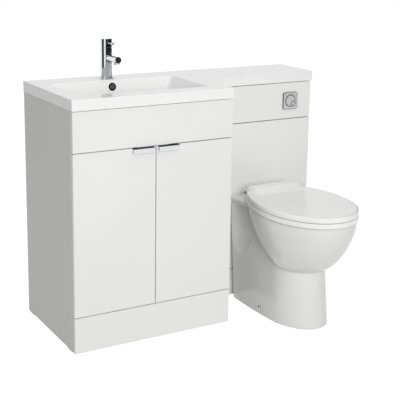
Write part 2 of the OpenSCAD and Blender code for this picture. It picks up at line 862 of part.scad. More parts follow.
module tap_body() {
    color(chrome) difference() {
        union() {
            rod_z(bowl_cx, tap_y, top_z, top_z + 5, tap_foot_r);
            rod_z(bowl_cx, tap_y, top_z, cap_z - cap_groove, tap_r);
            rod_z(bowl_cx, tap_y, shank_low, top_z + 1, shank_r);
            rod_y(bowl_cx, tap_y - spout_reach, tap_y, top_z + spout_z, spout_r);
            rod_y(bowl_cx, nozzle_y - 13, nozzle_y + 9, top_z + spout_z, spout_r + 0.8);
            rod_z(bowl_cx, nozzle_y, nozzle_low, top_z + spout_z, aerator_r + 2);
        }
        rod_z(bowl_cx, tap_y, cap_z - cap_groove - cartridge_l, cap_z, cartridge_r + fix_fit);
        rod_z(bowl_cx, nozzle_y, nozzle_low - 1, top_z + spout_z - 3, aerator_r + fix_fit);
        for (s = [-1, 1]) rod_z(bowl_cx + s * inlet_dx, tap_y + 2, shank_low - 1, shank_low + 20, inlet_r);
        rod_z(bowl_cx, stud_y, shank_low - 1, shank_low + 14, stud_r_tap + fix_fit);
    }
}

module tap_aerator() {
    color(steel) difference() {
        rod_z(bowl_cx, nozzle_y, nozzle_low - 1.5, top_z + spout_z - 4, aerator_r);
        rod_z(bowl_cx, nozzle_y, nozzle_low - 2, nozzle_low + 2, aerator_r - 2);
    }
}

module tap_cartridge() {
    low = cap_z - cap_groove - cartridge_l;
    color(plastic) {
        rod_z(bowl_cx, tap_y, low, cap_z - cap_groove, cartridge_r);
        rod_z(bowl_cx, tap_y, low, cap_z + 6, spindle_r);
    }
}

module tap_fixing() {
    clamp_t = 3;
    nut_h = 6;
    color(steel) {
        rod_z(bowl_cx, stud_y, deck_under - 50, shank_low + 13, stud_r_tap);
        difference() {
            rod_z(bowl_cx, tap_y, deck_under - clamp_t, deck_under, 26);
            for (s = [-1, 1]) rod_z(bowl_cx + s * inlet_dx, tap_y + 2, 0, top_z, inlet_r + 2);
            rod_z(bowl_cx, stud_y, 0, top_z, stud_r_tap + slip_fit);
            rod_z(bowl_cx, tap_y + 2, 0, top_z, inlet_r + 2);
        }
        difference() {
            translate([bowl_cx, stud_y, deck_under - clamp_t - nut_h]) cylinder(h = nut_h, r = 7, $fn = 6);
            rod_z(bowl_cx, stud_y, 0, top_z, stud_r_tap + fix_fit);
        }
    }
}

module tap_cap() {
    chamber = barrel_l / 2 + slip_fit;
    slot = lever_r + 0.5;
    color(chrome) difference() {
        rod_z(bowl_cx, tap_y, cap_z, cap_z + cap_h, tap_r);
        rod_z(bowl_cx, tap_y, cap_z - 1, cap_z + 7, spindle_r + run_fit);
        block(bowl_cx - chamber, bowl_cx + chamber, tap_y - 10, tap_y + 8, lever_z - 8, lever_z + 10);
        block(bowl_cx - slot, bowl_cx + slot, tap_y - tap_r - 1, tap_y, lever_z - slot, lever_z + 11.5);
        rod_x(bowl_cx - 14, bowl_cx + 14, tap_y, lever_z, trunnion_r + run_fit);
    }
}

module tap_lever() {
    knob = 5.8;
    color(chrome) {
        rod_x(bowl_cx - barrel_l / 2, bowl_cx + barrel_l / 2, tap_y, lever_z, barrel_r);
        rod_x(bowl_cx - 13.5, bowl_cx + 13.5, tap_y, lever_z, trunnion_r);
        rod_y(bowl_cx, tap_y - lever_reach + knob, tap_y, lever_z, lever_r);
        translate([bowl_cx, tap_y - lever_reach + knob, lever_z]) sphere(r = knob);
    }
}

// ---------------------------------------------------------------- cistern cabinet
module wc_side(x) {
    color(white_board) difference() {
        block(x, x + board_t, wc_edge_y, wall_y, glide_h, cabinet_h);
        dowel_set(fix_fit);
        screw_set(fix_fit);
        glide_nails();
    }
}

module wc_side_left() { wc_side(split_x); }
module wc_side_right() { wc_side(right_x - board_t); }

module wc_rails() {
    x0 = split_x + board_t;
    x1 = right_x - board_t;
    color(inner_board) difference() {
        union() {
            block(x0, x1, wc_edge_y, wc_edge_y + board_t, wc_panel_z - 45, wc_panel_z + 15);
            block(x0, x1, wall_y - board_t, wall_y, cabinet_h - rail_h, cabinet_h);
            block(x0, x1, wall_y - board_t, wall_y, 10, 110);
        }
        dowel_set(fix_fit);
        screw_set(fix_fit);
        wall_holes(x0 + wc_hole_in, x1 - wc_hole_in, cabinet_h - 20);
    }
}

module wc_upper_panel() {
    color(white_board) difference() {
        block(split_x + front_inset, right_x - front_inset, wc_y, wc_edge_y, wc_panel_z + joint, cabinet_h - 2);
        rod_y(plate_cx, wc_y - 1, wc_edge_y + 1, plate_z, housing_r + 0.5);
    }
}

module wc_lower_panel() {
    color(white_board) difference() {
        block(split_x + front_inset, right_x - front_inset, wc_y, wc_edge_y, wc_plinth_h + joint, wc_panel_z - joint);
        rod_y(pan_x, wc_y - 1, wc_edge_y + 1, outlet_z, outlet_r + 7);
        rod_y(pan_x, wc_y - 1, wc_edge_y + 1, inlet_z, flush_pipe_r + 9);
    }
}

module wc_plinth() {
    color(white_board)
        block(split_x + front_inset, right_x - front_inset, wc_y, wc_edge_y, plinth_lift, wc_plinth_h - joint);
}

// ---------------------------------------------------------------- cistern
module cistern_tank() {
    color(plastic) difference() {
        block(tank_x - tank_w / 2, tank_x + tank_w / 2, tank_y0, tank_y1, tank_z, tank_z + tank_h);
        block(tank_x - tank_w / 2 + tank_wall, tank_x + tank_w / 2 - tank_wall, tank_y0 + tank_wall,
              tank_y1 - tank_wall, tank_z + tank_wall, tank_z + tank_h + 1);
        rod_z(tank_x, tank_cy, tank_z - 1, tank_z + tank_wall + 1, spigot_r + slip_fit);
        rod_z(fill_x, tank_cy, tank_z - 1, tank_z + tank_wall + 1, supply_r + slip_fit);
        screw_set(fix_fit);
    }
}

module cistern_cover() {
    z = tank_z + tank_h;
    in_w = tank_w / 2 - tank_wall - slip_fit;
    color(plastic) difference() {
        union() {
            block(tank_x - tank_w / 2 - 2, tank_x + tank_w / 2 + 2, tank_y0 - 2, tank_y1, z, z + 4);
            block(tank_x - in_w, tank_x + in_w, tank_y0 + tank_wall + slip_fit, tank_y1 - tank_wall - slip_fit,
                  z - 8, z + 1);
        }
        block(tank_x - in_w + 3, tank_x + in_w - 3, tank_y0 + tank_wall + 3, tank_y1 - tank_wall - 3, z - 9, z);
    }
}

module fill_valve() {
    z = tank_z + tank_wall;
    color(plastic) difference() {
        union() {
            rod_z(fill_x, tank_cy, tank_z - 30, tank_z - 1, supply_r);
            rod_z(fill_x, tank_cy, tank_z - 2, z + 5, supply_r - 0.5);
            rod_z(fill_x, tank_cy, z, z + 6, supply_r + 7);
            rod_z(fill_x, tank_cy, z, float_stop + 1, column_r);
            rod_z(fill_x, tank_cy, float_z - 4, float_z, column_r + 5);
            rod_z(fill_x, tank_cy, float_stop, float_stop + 40, column_r + 6);
        }
        rod_z(fill_x, tank_cy, tank_z - 31, z + 200, supply_r - 4);
    }
}

module fill_float() {
    color(plastic) difference() {
        rod_z(fill_x, tank_cy, float_z, float_z + float_h, float_r);
        rod_z(fill_x, tank_cy, float_z - 1, float_z + float_h + 1, column_r + slip_fit);
    }
}

module flush_valve() {
    z = tank_z + tank_wall;
    color(plastic) difference() {
        union() {
            rod_z(tank_x, tank_cy, tank_z - spigot_l, z + 2, spigot_r);
            rod_z(tank_x, tank_cy, z, z + 6, spigot_r + 8);
            rod_z(tank_x, tank_cy, z, z + cage_h, cage_r);
        }
        rod_z(tank_x, tank_cy, tank_z - spigot_l - 1, z + 7, piston_r - 5);
        rod_z(tank_x, tank_cy, z + 6, z + cage_h - 5, cage_r - 3);
        rod_z(tank_x, tank_cy, z + cage_h - 6, z + cage_h + 1, overflow_tube_r + slip_fit);
        for (a = [0, 90]) translate([tank_x, tank_cy, z + 14]) rotate([0, 0, a])
            translate([-cage_r - 1, -12, 0]) cube([2 * cage_r + 2, 24, 40]);
    }
}

// Sealing disc on the overflow tube, with a collar that stops its lift under the cage's cap
module flush_piston() {
    z = tank_z + tank_wall + 6;
    stop_z = tank_z + tank_wall + cage_h - 5 - valve_lift - slip_fit;
    color([0.75, 0.2, 0.15]) difference() {
        union() {
            rod_z(tank_x, tank_cy, z, z + 5, piston_r);
            rod_z(tank_x, tank_cy, z, tube_top, overflow_tube_r);
            rod_z(tank_x, tank_cy, stop_z - 4, stop_z, overflow_tube_r + 6);
        }
        rod_z(tank_x, tank_cy, z - 1, tube_top + 1, overflow_tube_r - 2);
    }
}

flare_z = tank_z - spigot_l - 4;

module flush_pipe() {
    bore = flush_pipe_r - flush_t;
    turn_y = tank_cy - bend_r;
    end_y = pan_back - cone_l + 6;
    color(plastic) {
        pipe_z(tank_x, tank_cy, flare_z + 4, tank_z - 2, spigot_r + 4, spigot_r + fix_fit);
        pipe_z(tank_x, tank_cy, flare_z, flare_z + 4, spigot_r + 4, bore);
        pipe_z(tank_x, tank_cy, inlet_z + bend_r, flare_z, flush_pipe_r, bore);
        translate([tank_x, turn_y, inlet_z + bend_r]) rotate([0, 0, 90]) rotate([-90, 0, 0])
            rotate_extrude(angle = 90) translate([bend_r, 0]) difference() {
                circle(r = flush_pipe_r);
                circle(r = bore);
            }
        difference() {
            rod_y(tank_x, end_y, turn_y, inlet_z, flush_pipe_r);
            rod_y(tank_x, end_y - 1, turn_y + 1, inlet_z, bore);
        }
    }
}

module flush_cone() {
    color(rubber_black) difference() {
        union() {
            rod_y(pan_x, pan_back - cone_l + 8, pan_back, inlet_z, cone_r - fix_fit);
            rod_y(pan_x, pan_back, pan_back + 5, inlet_z, cone_r + 2.5);
        }
        rod_y(pan_x, pan_back - cone_l, pan_back + 6, inlet_z, flush_pipe_r + fix_fit);
    }
}

// ---------------------------------------------------------------- flush plate
module plate_at() {
    translate([plate_cx, wc_y, plate_z]) rotate([90, 0, 0]) children();
}

module button_pair(grow) {
    circle(r = button_r + grow);
    translate([small_dx, small_dz]) circle(r = small_r + grow);
}

module flush_bezel() {
    corner = 8;
    color(chrome) plate_at() linear_extrude(plate_t) difference() {
        union() {
            square([plate_w, plate_h - 2 * corner], center = true);
            square([plate_w - 2 * corner, plate_h], center = true);
            for (sx = [-1, 1]) for (sy = [-1, 1])
                translate([sx * (plate_w / 2 - corner), sy * (plate_h / 2 - corner)]) circle(r = corner);
        }
        button_pair(button_gap);
    }
}

stem_at = [-6, 6];

module flush_housing() {
    color(plastic) plate_at() difference() {
        union() {
            translate([0, 0, -housing_l]) cylinder(h = housing_l, r = housing_r);
            translate([0, 0, -front_t - 6]) cylinder(h = 6, r = housing_r + 5);
        }
        translate([0, 0, -button_travel - 7]) cylinder(h = button_travel + 8, r = housing_r - 2);
        translate([stem_at[0], stem_at[1], -housing_l - 1]) cylinder(h = housing_l + 2, r = 5 + run_fit);
        translate([small_dx, small_dz, -housing_l - 1]) cylinder(h = housing_l + 2, r = 5 + run_fit);
    }
}

module button_large() {
    color(chrome) plate_at() {
        translate([0, 0, plate_t - 6]) linear_extrude(7) difference() {
            circle(r = button_r);
            translate([small_dx, small_dz]) circle(r = small_r + button_gap);
        }
        translate([stem_at[0], stem_at[1], -stem_l]) cylinder(h = stem_l + 2, r = 5);
    }
}

module button_small() {
    color(chrome) plate_at() {
        translate([small_dx, small_dz, plate_t - 6]) cylinder(h = 7, r = small_r);
        translate([small_dx, small_dz, -stem_l]) cylinder(h = stem_l + 2, r = 5);
    }
}

// ---------------------------------------------------------------- pan
// Egg outline: half width, front, widest line, rear half length, and a straight cut at the rear
ring_n = 48;
function egg(hw, front, mid, rear_a, cut, z) = [
    for (i = [0 : ring_n - 1])
        let (a = 360 * i / ring_n, s = sin(a), y = mid + (s < 0 ? (mid - front) * s : rear_a * s))
            [pan_x + hw * cos(a), min(y, cut), z]
];

// Foot outline: slightly full sides, a straight rear with rounded corners, and a round nose
function foot(hw, nose_hw, front, corner, z) = [
    for (i = [0 : 47])
        let (
            side = i < 12 ? 1 : -1,
            ry = pan_back - corner,
            turn = 22.5 * (i < 12 ? i - 7 : i - 8),
            f = i < 7 ? i / 7 : (24 - i) / 8,
            nose = 7.5 * i
        )
            i > 23 ? [pan_x + nose_hw * cos(nose), foot_mid + (foot_mid - front) * sin(nose), z]
            : i < 7 || i > 16
                ? [pan_x + side * (nose_hw + (hw - nose_hw) * f + foot_bulge * sin(180 * f)), foot_mid + (ry - foot_mid) * f, z]
                : [pan_x + side * (hw - corner) + corner * cos(turn), ry + corner * sin(turn), z]
];

// Outside of the bowl, as rings that widen from the neck to the rim
module bowl_outside() {
    loft([
        for (a = [4 : 8.6 : 90])
            let (k = sin(a), h = 1 - cos(a), z = bowl_low_z + (rim_z - bowl_low_z) * h)
                egg(rim_hw * k, rim_front + 148 * (1 - k), seat_mid + 60 * (1 - k),
                    bowl_rear - 165 * (1 - k), pan_back, z)
    ]);
}

module bowl_inside() {
    rim_in = 40;
    loft([
        for (k = [0 : 8])
            let (f = k / 8, w = sqrt(1 - (1 - f) * (1 - f)), z = 215 + (rim_z - 215 + 1) * f)
                egg(34 + (rim_hw - rim_in - 34) * w, rim_front + rim_in + 5 + 90 * (1 - w), seat_mid + 40 * (1 - w),
                    inner_rear - 70 * (1 - w), pan_back, z)
    ]);
}

// Hollow at each side, between the rear column and the bowl, with a flat top under the ledge
module side_hollow(s) {
    r = 62;
    out = pan_x + s * ledge_hw;
    intersection() {
        hull() {
            translate([out + s * 16, wc_y - 64, rim_z - 60]) sphere(r = r, $fn = 32);
            translate([out + s * 16, wc_y - 130, rim_z - 62]) sphere(r = r, $fn = 32);
            translate([out + s * 42, wc_y - 74, rim_z - 165]) sphere(r = r, $fn = 32);
        }
        block(pan_x - 2 * ledge_hw, pan_x + 2 * ledge_hw, pan_back - 4 * r, wc_y, 0, rim_z - ledge_t);
    }
}

// Water's way out: a sump in front, up over the weir and down to the outlet
module trapway() {
    r = 30;
    sump = [pan_x, seat_mid + 66, bowl_low_z - 8];
    weir = [pan_x, wc_y - 172, bowl_low_z + 90];
    fall = [pan_x, wc_y - 95, outlet_z];
    hull() {
        translate(sump) sphere(r = r, $fn = 20);
        translate(weir) sphere(r = r, $fn = 20);
    }
    hull() {
        translate(weir) sphere(r = r, $fn = 20);
        translate(fall) sphere(r = r, $fn = 20);
    }
    rod_y(pan_x, wc_y - 95, wc_y + 80, outlet_z, outlet_r - 8);
}

// Way of the flush water from the inlet, over the trapway, into the bowl under the rim
module flush_way() {
    hull() {
        translate([pan_x, pan_back - cone_l - 8, inlet_z + 5]) sphere(r = 15, $fn = 20);
        translate([pan_x, seat_mid + inner_rear - 26, rim_z - 34]) sphere(r = 15, $fn = 20);
    }
    rod_y(pan_x, pan_back - cone_l - 10, pan_back + 1, inlet_z, cone_r - 8);
    rod_y(pan_x, pan_back - cone_l, pan_back + 1, inlet_z, cone_r);
}

foot_wall = 14;
foot_top = bowl_low_z + 50;

// Foot and rear column in one: the sides spread and the nose draws in as they rise
module column() {
    loft([
        for (z = [0, 100, 200, foot_top, rim_z])
            let (f = z / rim_z)
                foot(foot_hw + (ledge_hw - foot_hw) * f, foot_hw - 14 * f, foot_front + 56 * f, foot_corner - 32 * f, z)
    ]);
}

module pan() {
    color(ceramic) difference() {
        union() {
            difference() {
                union() {
                    column();
                }
                side_hollow(-1);
                side_hollow(1);
            }
            bowl_outside();
            rod_y(pan_x, pan_back - 10, wc_y + 66, outlet_z, outlet_r);
        }
        bowl_inside();
        trapway();
        loft([
            for (k = [0, 1, 2])
                let (in = foot_wall + [0, 6, 40][k])
                    foot(foot_hw - in, foot_hw - in, foot_front + 2 * in - foot_wall, 26, [-1, 100, 125][k])
        ]);
        flush_way();
        for (s = [-1, 1]) {
            rod_x(pan_x - (s < 0 ? foot_hw + 20 : -foot_hw + 40), pan_x + (s < 0 ? -foot_hw + 40 : foot_hw + 20),
                  side_screw_y, bracket_z, 4);
            rod_z(pan_x + s * seat_fix / 2, hinge_y, rim_z - ledge_t - 30, rim_z + 1, 7);
            rod_z(pan_x + s * seat_fix / 2, hinge_y, rim_z - ledge_t - 30, rim_z - ledge_t, 16);
        }
    }
}

bracket_in = foot_hw - foot_wall - 4;

module pan_brackets() {
    color(steel) for (s = [-1, 1]) difference() {
        union() {
            block(pan_x + (s < 0 ? -bracket_in : bracket_in - 4), pan_x + (s < 0 ? -bracket_in + 4 : bracket_in),
                  side_screw_y - 16, side_screw_y + 16, 0, bracket_z + 14);
            block(pan_x + (s < 0 ? -bracket_in : bracket_in - 44), pan_x + (s < 0 ? -bracket_in + 44 : bracket_in),
                  side_screw_y - 16, side_screw_y + 16, 0, 4);
        }
        rod_x(pan_x - foot_hw, pan_x + foot_hw, side_screw_y, bracket_z, 3 + fix_fit);
        rod_z(pan_x + s * (bracket_in - 26), side_screw_y, -1, 5, 3.5);
    }
}

module pan_screws() {
    along = (side_screw_y - foot_mid) / (pan_back - foot_corner - foot_mid);
    head_in = foot_hw + foot_bulge * sin(180 * along);
    socket_r = 2.8;
    color(steel) for (s = [-1, 1]) difference() {
        union() {
            rod_x(pan_x + (s < 0 ? -head_in : bracket_in - 12), pan_x + (s < 0 ? 12 - bracket_in : head_in),
                  side_screw_y, bracket_z, 3);
            rod_x(pan_x + s * (head_in + 1.5) - 1.5, pan_x + s * (head_in + 1.5) + 1.5, side_screw_y, bracket_z, 6);
        }
        rod_x(pan_x + s * (head_in + 3) - 2, pan_x + s * (head_in + 3) + 2, side_screw_y, bracket_z, socket_r);
    }
}

// Socket round the pan's outlet, a groove, and a spigot for the soil pipe in the wall
module pan_connector() {
    y0 = wc_y + 30;
    y1 = y0 + socket_l;
    color(plastic) difference() {
        union() {
            rod_y(pan_x, y0, y1, outlet_z, connector_r);
            rod_y(pan_x, y1 - 1, y1 + 4, outlet_z, soil_r - 1);
            rod_y(pan_x, y1 + 4, wall_y, outlet_z, soil_r);
        }
        rod_y(pan_x, y0 - 1, wc_y + 68, outlet_z, outlet_r + fix_fit);
        rod_y(pan_x, wc_y + 67, wall_y + 1, outlet_z, outlet_r - 4);
    }
}

// ---------------------------------------------------------------- seat
module seat_posts() {
    color(chrome) for (s = [-1, 1]) {
        x = pan_x + s * seat_fix / 2;
        rod_z(x, hinge_y, rim_z, rim_z + 6, 15);
        block(x - post_hw, x + post_hw, hinge_y - 7, hinge_y + 7, rim_z + 5, hinge_pin_z);
        rod_x(x - post_hw, x + post_hw, hinge_y, hinge_pin_z, knuckle);
        reach = post_hw + ear_gap + ear_w;
        rod_x(x - reach, x + reach, hinge_y, hinge_pin_z, hinge_pin_r);
        rod_z(x, hinge_y, rim_z - ledge_t - 20, rim_z + 1, stud_r);
        difference() {
            translate([x, hinge_y, rim_z - ledge_t - 10]) cylinder(h = 10, r = 12, $fn = 6);
            rod_z(x, hinge_y, 0, rim_z, stud_r + fix_fit);
        }
    }
}

// An ear round the hinge pin, on side d of each post, with an arm to the piece's rear edge
module hinge_ears(d, z0, z1) {
    for (s = [-1, 1]) {
        near = seat_fix / 2 + d * (post_hw + ear_gap);
        far = near + d * ear_w;
        x0 = pan_x + min(s * near, s * far);
        x1 = pan_x + max(s * near, s * far);
        rod_x(x0, x1, hinge_y, hinge_pin_z, knuckle);
        block(x0, x1, seat_rear_y - 20, hinge_y, z0, z1);
    }
}

module hinge_bores() {
    rod_x(pan_x - seat_fix, pan_x + seat_fix, hinge_y, hinge_pin_z, hinge_pin_r + run_fit);
}

function seat_egg(in, z) = egg(seat_hw - in, lid_front + in, seat_mid, seat_rear_a - in, seat_rear_y - in / 2, z);

module seat_ring() {
    hole_in = 62;
    color(ceramic) difference() {
        union() {
            loft([seat_egg(4, seat_z), seat_egg(0, seat_z + 4), seat_egg(0, seat_z + seat_t - 3),
                  seat_egg(3, seat_z + seat_t)]);
            hinge_ears(-1, seat_z + 6, seat_z + seat_t);
        }
        loft([for (z = [seat_z - 1, seat_z + seat_t + 1])
            egg(seat_hw - hole_in, lid_front + hole_in, seat_mid, inner_rear, hinge_y, z)]);
        hinge_bores();
    }
}

module seat_buffers() {
    color(plastic) for (s = [-1, 1]) for (y = [seat_mid - 110, seat_mid + 90])
        rod_z(pan_x + s * (seat_hw - 42), y, rim_z + 0.2, seat_z, 7);
}

module seat_lid() {
    rise = 12;
    color(ceramic) difference() {
        union() {
            loft([seat_egg(4, lid_z), seat_egg(2, lid_z + 3), seat_egg(3, lid_z + lid_t - 8),
                  seat_egg(8, lid_z + lid_t - 2), seat_egg(16, lid_z + lid_t)]);
            hull() {
                for (x = [-1, 1]) {
                    translate([pan_x + x * 78, seat_rear_y - 14, lid_z + lid_t + rise - 12])
                        sphere(r = 12, $fn = 24);
                    translate([pan_x + x * 84, seat_rear_y - 110, lid_z + 10]) sphere(r = 8, $fn = 24);
                    translate([pan_x + x * 88, seat_rear_y - 14, lid_z + 8]) sphere(r = 8, $fn = 24);
                }
            }
            hinge_ears(1, lid_z, lid_z + 9);
        }
        hinge_bores();
    }
}

side_left();
side_right();
floor_panel();
front_rail();
rear_rails();
shelf();
shelf_pins();
fascia();
plinth();
plinth_blocks();
dowels();
glides();
hinge_arms();
carcass_screws();
door_left();
hinge_cups_left();
pull_left();
door_right();
hinge_cups_right();
pull_right();
basin_top();
overflow_ring();
waste_body();
waste_nut();
waste_plug();
trap_body();
trap_cup();
waste_pipe();
tap_body();
tap_aerator();
tap_cartridge();
tap_fixing();
tap_cap();
tap_lever();
wc_side_left();
wc_side_right();
wc_rails();
wc_upper_panel();
wc_lower_panel();
wc_plinth();
cistern_tank();
cistern_cover();
fill_valve();
fill_float();
flush_valve();
flush_piston();
flush_pipe();
flush_cone();
flush_housing();
flush_bezel();
button_large();
button_small();
pan();
pan_brackets();
pan_screws();
pan_connector();
seat_posts();
seat_ring();
seat_buffers();
seat_lid();
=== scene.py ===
import math

import bmesh
import bpy
import numpy as np
from mathutils import Matrix, Vector
from mathutils.geometry import tessellate_polygon


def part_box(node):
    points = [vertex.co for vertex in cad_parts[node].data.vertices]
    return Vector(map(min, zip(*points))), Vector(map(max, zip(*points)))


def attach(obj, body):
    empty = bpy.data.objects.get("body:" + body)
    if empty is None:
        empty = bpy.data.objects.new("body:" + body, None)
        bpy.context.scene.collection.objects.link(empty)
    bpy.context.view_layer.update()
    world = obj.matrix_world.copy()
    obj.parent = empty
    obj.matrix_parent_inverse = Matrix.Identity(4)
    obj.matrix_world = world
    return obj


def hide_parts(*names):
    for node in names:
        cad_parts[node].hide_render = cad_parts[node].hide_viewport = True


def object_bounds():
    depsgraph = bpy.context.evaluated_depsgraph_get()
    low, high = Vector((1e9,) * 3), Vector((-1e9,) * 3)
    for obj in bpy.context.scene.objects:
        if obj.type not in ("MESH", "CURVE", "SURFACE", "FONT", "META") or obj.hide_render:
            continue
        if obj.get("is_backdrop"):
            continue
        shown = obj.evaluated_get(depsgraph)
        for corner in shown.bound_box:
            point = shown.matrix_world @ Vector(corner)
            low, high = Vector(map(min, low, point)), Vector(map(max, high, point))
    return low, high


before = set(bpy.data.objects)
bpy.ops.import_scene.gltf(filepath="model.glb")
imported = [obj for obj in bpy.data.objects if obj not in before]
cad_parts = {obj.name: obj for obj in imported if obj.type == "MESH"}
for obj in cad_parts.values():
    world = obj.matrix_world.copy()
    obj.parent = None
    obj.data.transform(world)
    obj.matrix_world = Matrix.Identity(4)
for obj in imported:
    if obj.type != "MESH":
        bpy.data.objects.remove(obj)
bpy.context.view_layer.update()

# ---------------------------------------------------------------- cabinet sides
# The uprights of the vanity and of the cistern cabinet are melamine-faced particle board,
# 15 mm thick, lipped on the front edge and left raw where the wall and the top hide them.


def new_finish(name, colour, roughness, metallic=0.0):
    """A plain material, whose colour or roughness a pattern may vary later."""
    finish = bpy.data.materials.new(name)
    finish.use_nodes = True
    shader = finish.node_tree.nodes["Principled BSDF"]
    shader.inputs["Base Color"].default_value = (*colour, 1)
    shader.inputs["Roughness"].default_value = roughness
    shader.inputs["Metallic"].default_value = metallic
    return finish


def pattern(finish, scale, detail=2.0, stretch=(1, 1, 1)):
    """Noise that lies still on the piece, stretched along its grain."""
    tree = finish.node_tree
    coord = tree.nodes.new("ShaderNodeTexCoord")
    place = tree.nodes.new("ShaderNodeMapping")
    noise = tree.nodes.new("ShaderNodeTexNoise")
    place.inputs["Scale"].default_value = stretch
    noise.inputs["Scale"].default_value = scale
    noise.inputs["Detail"].default_value = detail
    tree.links.new(coord.outputs["Object"], place.inputs["Vector"])
    tree.links.new(place.outputs["Vector"], noise.inputs["Vector"])
    return noise.outputs["Fac"]


def vary(finish, socket, low, high, *grain):
    """Lets a pattern of this grain vary a colour or the roughness between two values."""
    start, end = 0.3, 0.7
    tree = finish.node_tree
    factor = pattern(finish, *grain)
    node = tree.nodes.new("ShaderNodeMapRange" if isinstance(low, float) else "ShaderNodeValToRGB")
    if isinstance(low, float):
        for key, value in (("From Min", start), ("From Max", end), ("To Min", low), ("To Max", high)):
            node.inputs[key].default_value = value
        tree.links.new(factor, node.inputs["Value"])
        out = node.outputs["Result"]
    else:
        first, last = node.color_ramp.elements
        first.position, first.color = start, (*low, 1)
        last.position, last.color = end, (*high, 1)
        tree.links.new(factor, node.inputs["Fac"])
        out = node.outputs["Color"]
    tree.links.new(out, tree.nodes["Principled BSDF"].inputs[socket])


def relief(finish, height, *grain):
    """Raises a pattern of this grain by a height in metres, for the light alone."""
    tree = finish.node_tree
    bump = tree.nodes.new("ShaderNodeBump")
    bump.inputs["Distance"].default_value = height
    tree.links.new(pattern(finish, *grain), bump.inputs["Height"])
    tree.links.new(bump.outputs["Normal"], tree.nodes["Principled BSDF"].inputs["Normal"])


# The side boards' grey is partly the melamine's own tone and partly painted shade: it is set darker than
# the white fronts to stand for the shade on the sides.
side_melamine_and_painted_shade = new_finish("side_melamine_and_painted_shade", (0.66, 0.66, 0.65), 0.36)
vary(side_melamine_and_painted_shade, "Base Color", (0.65, 0.65, 0.64), (0.67, 0.67, 0.66), 3.0)
vary(side_melamine_and_painted_shade, "Roughness", 0.32, 0.42, 60.0)
relief(side_melamine_and_painted_shade, 0.00004, 900.0, 3.0)

raw_chipboard = new_finish("raw_chipboard", (0.55, 0.42, 0.27), 0.85)
vary(raw_chipboard, "Base Color", (0.34, 0.23, 0.13), (0.68, 0.55, 0.38), 380.0, 4.0)
relief(raw_chipboard, 0.0004, 420.0, 4.0)


def closed_copy(node):
    """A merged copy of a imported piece's mesh, with its flat faces made whole."""
    bm = bmesh.new()
    bm.from_mesh(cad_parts[node].data)
    bmesh.ops.remove_doubles(bm, verts=bm.verts, dist=2e-6)
    bmesh.ops.dissolve_limit(bm, angle_limit=math.radians(0.4), verts=bm.verts, edges=bm.edges)
    return bm


def new_object(name, data):
    thing = bpy.data.objects.new(name, data)
    bpy.context.scene.collection.objects.link(thing)
    return thing


def place_piece(bm, name, finishes, body, nodes, edge=0.0, smooth=35, weighted=True):
    """Turns a mesh in the making into a finished piece that stands for its nodes.

    Edges sharper than smooth, in degrees, stay sharp or get a bevel of the width edge, in metres.
    """
    mesh = bpy.data.meshes.new(name)
    bm.to_mesh(mesh)
    bm.free()
    for finish in finishes:
        mesh.materials.append(finish)
    mesh.shade_smooth()
    mesh.set_sharp_from_angle(angle=math.radians(smooth))
    piece = new_object(name, mesh)
    if edge:
        soften = piece.modifiers.new("softened_edges", "BEVEL")
        soften.width = edge
        soften.segments = 2
        soften.limit_method = "ANGLE"
        soften.angle_limit = math.radians(smooth)
        soften.use_clamp_overlap = True
        soften.miter_outer = "MITER_ARC"
    if weighted:
        level = piece.modifiers.new("even_faces", "WEIGHTED_NORMAL")
        level.keep_sharp = not edge
    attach(piece, body)
    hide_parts(*nodes)
    return piece


face_slack = 2e-4


def finish_node(node, name, finish, body, edge, raw=(), raw_finish=None):
    """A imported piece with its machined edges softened, and raw board on the faces in raw."""
    bm = closed_copy(node)
    if raw:
        low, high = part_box(node)
        for face in bm.faces:
            for axis, way in raw:
                limit = high[axis] if way > 0 else low[axis]
                at_limit = abs(face.calc_center_median()[axis] - limit) < face_slack
                if face.normal[axis] * way > 0.95 and at_limit:
                    face.material_index = 1
    finishes = [finish, raw_finish] if raw else [finish]
    return place_piece(bm, name, finishes, body, [node], edge)


REAR, TOP, BOTTOM = (1, 1), (2, 1), (2, -1)
raw_faces = (REAR, TOP, BOTTOM)
for node, name in (
    ("side_left", "vanity_side_left"), ("side_right", "vanity_side_right"),
    ("wc_side_left", "cistern_side_left"), ("wc_side_right", "cistern_side_right"),
):
    finish_node(node, name, side_melamine_and_painted_shade, "unit", 0.0004, raw_faces, raw_chipboard)

# ---------------------------------------------------------------- inner boards and shelf
# Floor, rails, shelf and plinth blocks are the same board with a matt inner face. Dowels and
# screws hold them, and the shelf lies loose on four steel pins.

inner_melamine = new_finish("inner_melamine", (0.74, 0.735, 0.71), 0.5)
vary(inner_melamine, "Base Color", (0.72, 0.715, 0.69), (0.76, 0.755, 0.73), 4.0)
relief(inner_melamine, 0.00005, 800.0, 3.0)

for node, name, raw in (
    ("floor_panel", "cupboard_floor", (REAR,)),
    ("front_rail", "top_front_rail", (TOP, BOTTOM)),
    ("rear_rails", "vanity_rear_rails", (TOP, BOTTOM)),
    ("shelf", "loose_shelf", (REAR,)),
    ("plinth_blocks", "plinth_fixing_blocks", (BOTTOM,)),
    ("wc_rails", "cistern_cabinet_rails", (TOP, BOTTOM)),
):
    finish_node(node, name, inner_melamine, "unit", 0.0004, raw, raw_chipboard)

# ---------------------------------------------------------------- dowels, pins, glides
# Beech dowels glued between the boards, nickelled pins pushed into the sides for the shelf, and
# black nylon glides nailed under the sides.

beech_wood = new_finish("beech_wood", (0.55, 0.36, 0.2), 0.6)
along_x = (0.08, 1, 1)
vary(beech_wood, "Base Color", (0.46, 0.29, 0.15), (0.62, 0.43, 0.26), 90.0, 3.0, along_x)
finish_node("dowels", "beech_dowels", beech_wood, "unit", 0.0008)

nickel = new_finish("nickelled_steel", (0.62, 0.61, 0.59), 0.28, 1.0)
vary(nickel, "Roughness", 0.2, 0.36, 240.0)
finish_node("shelf_pins", "nickel_shelf_pins", nickel, "unit", 0.0006)

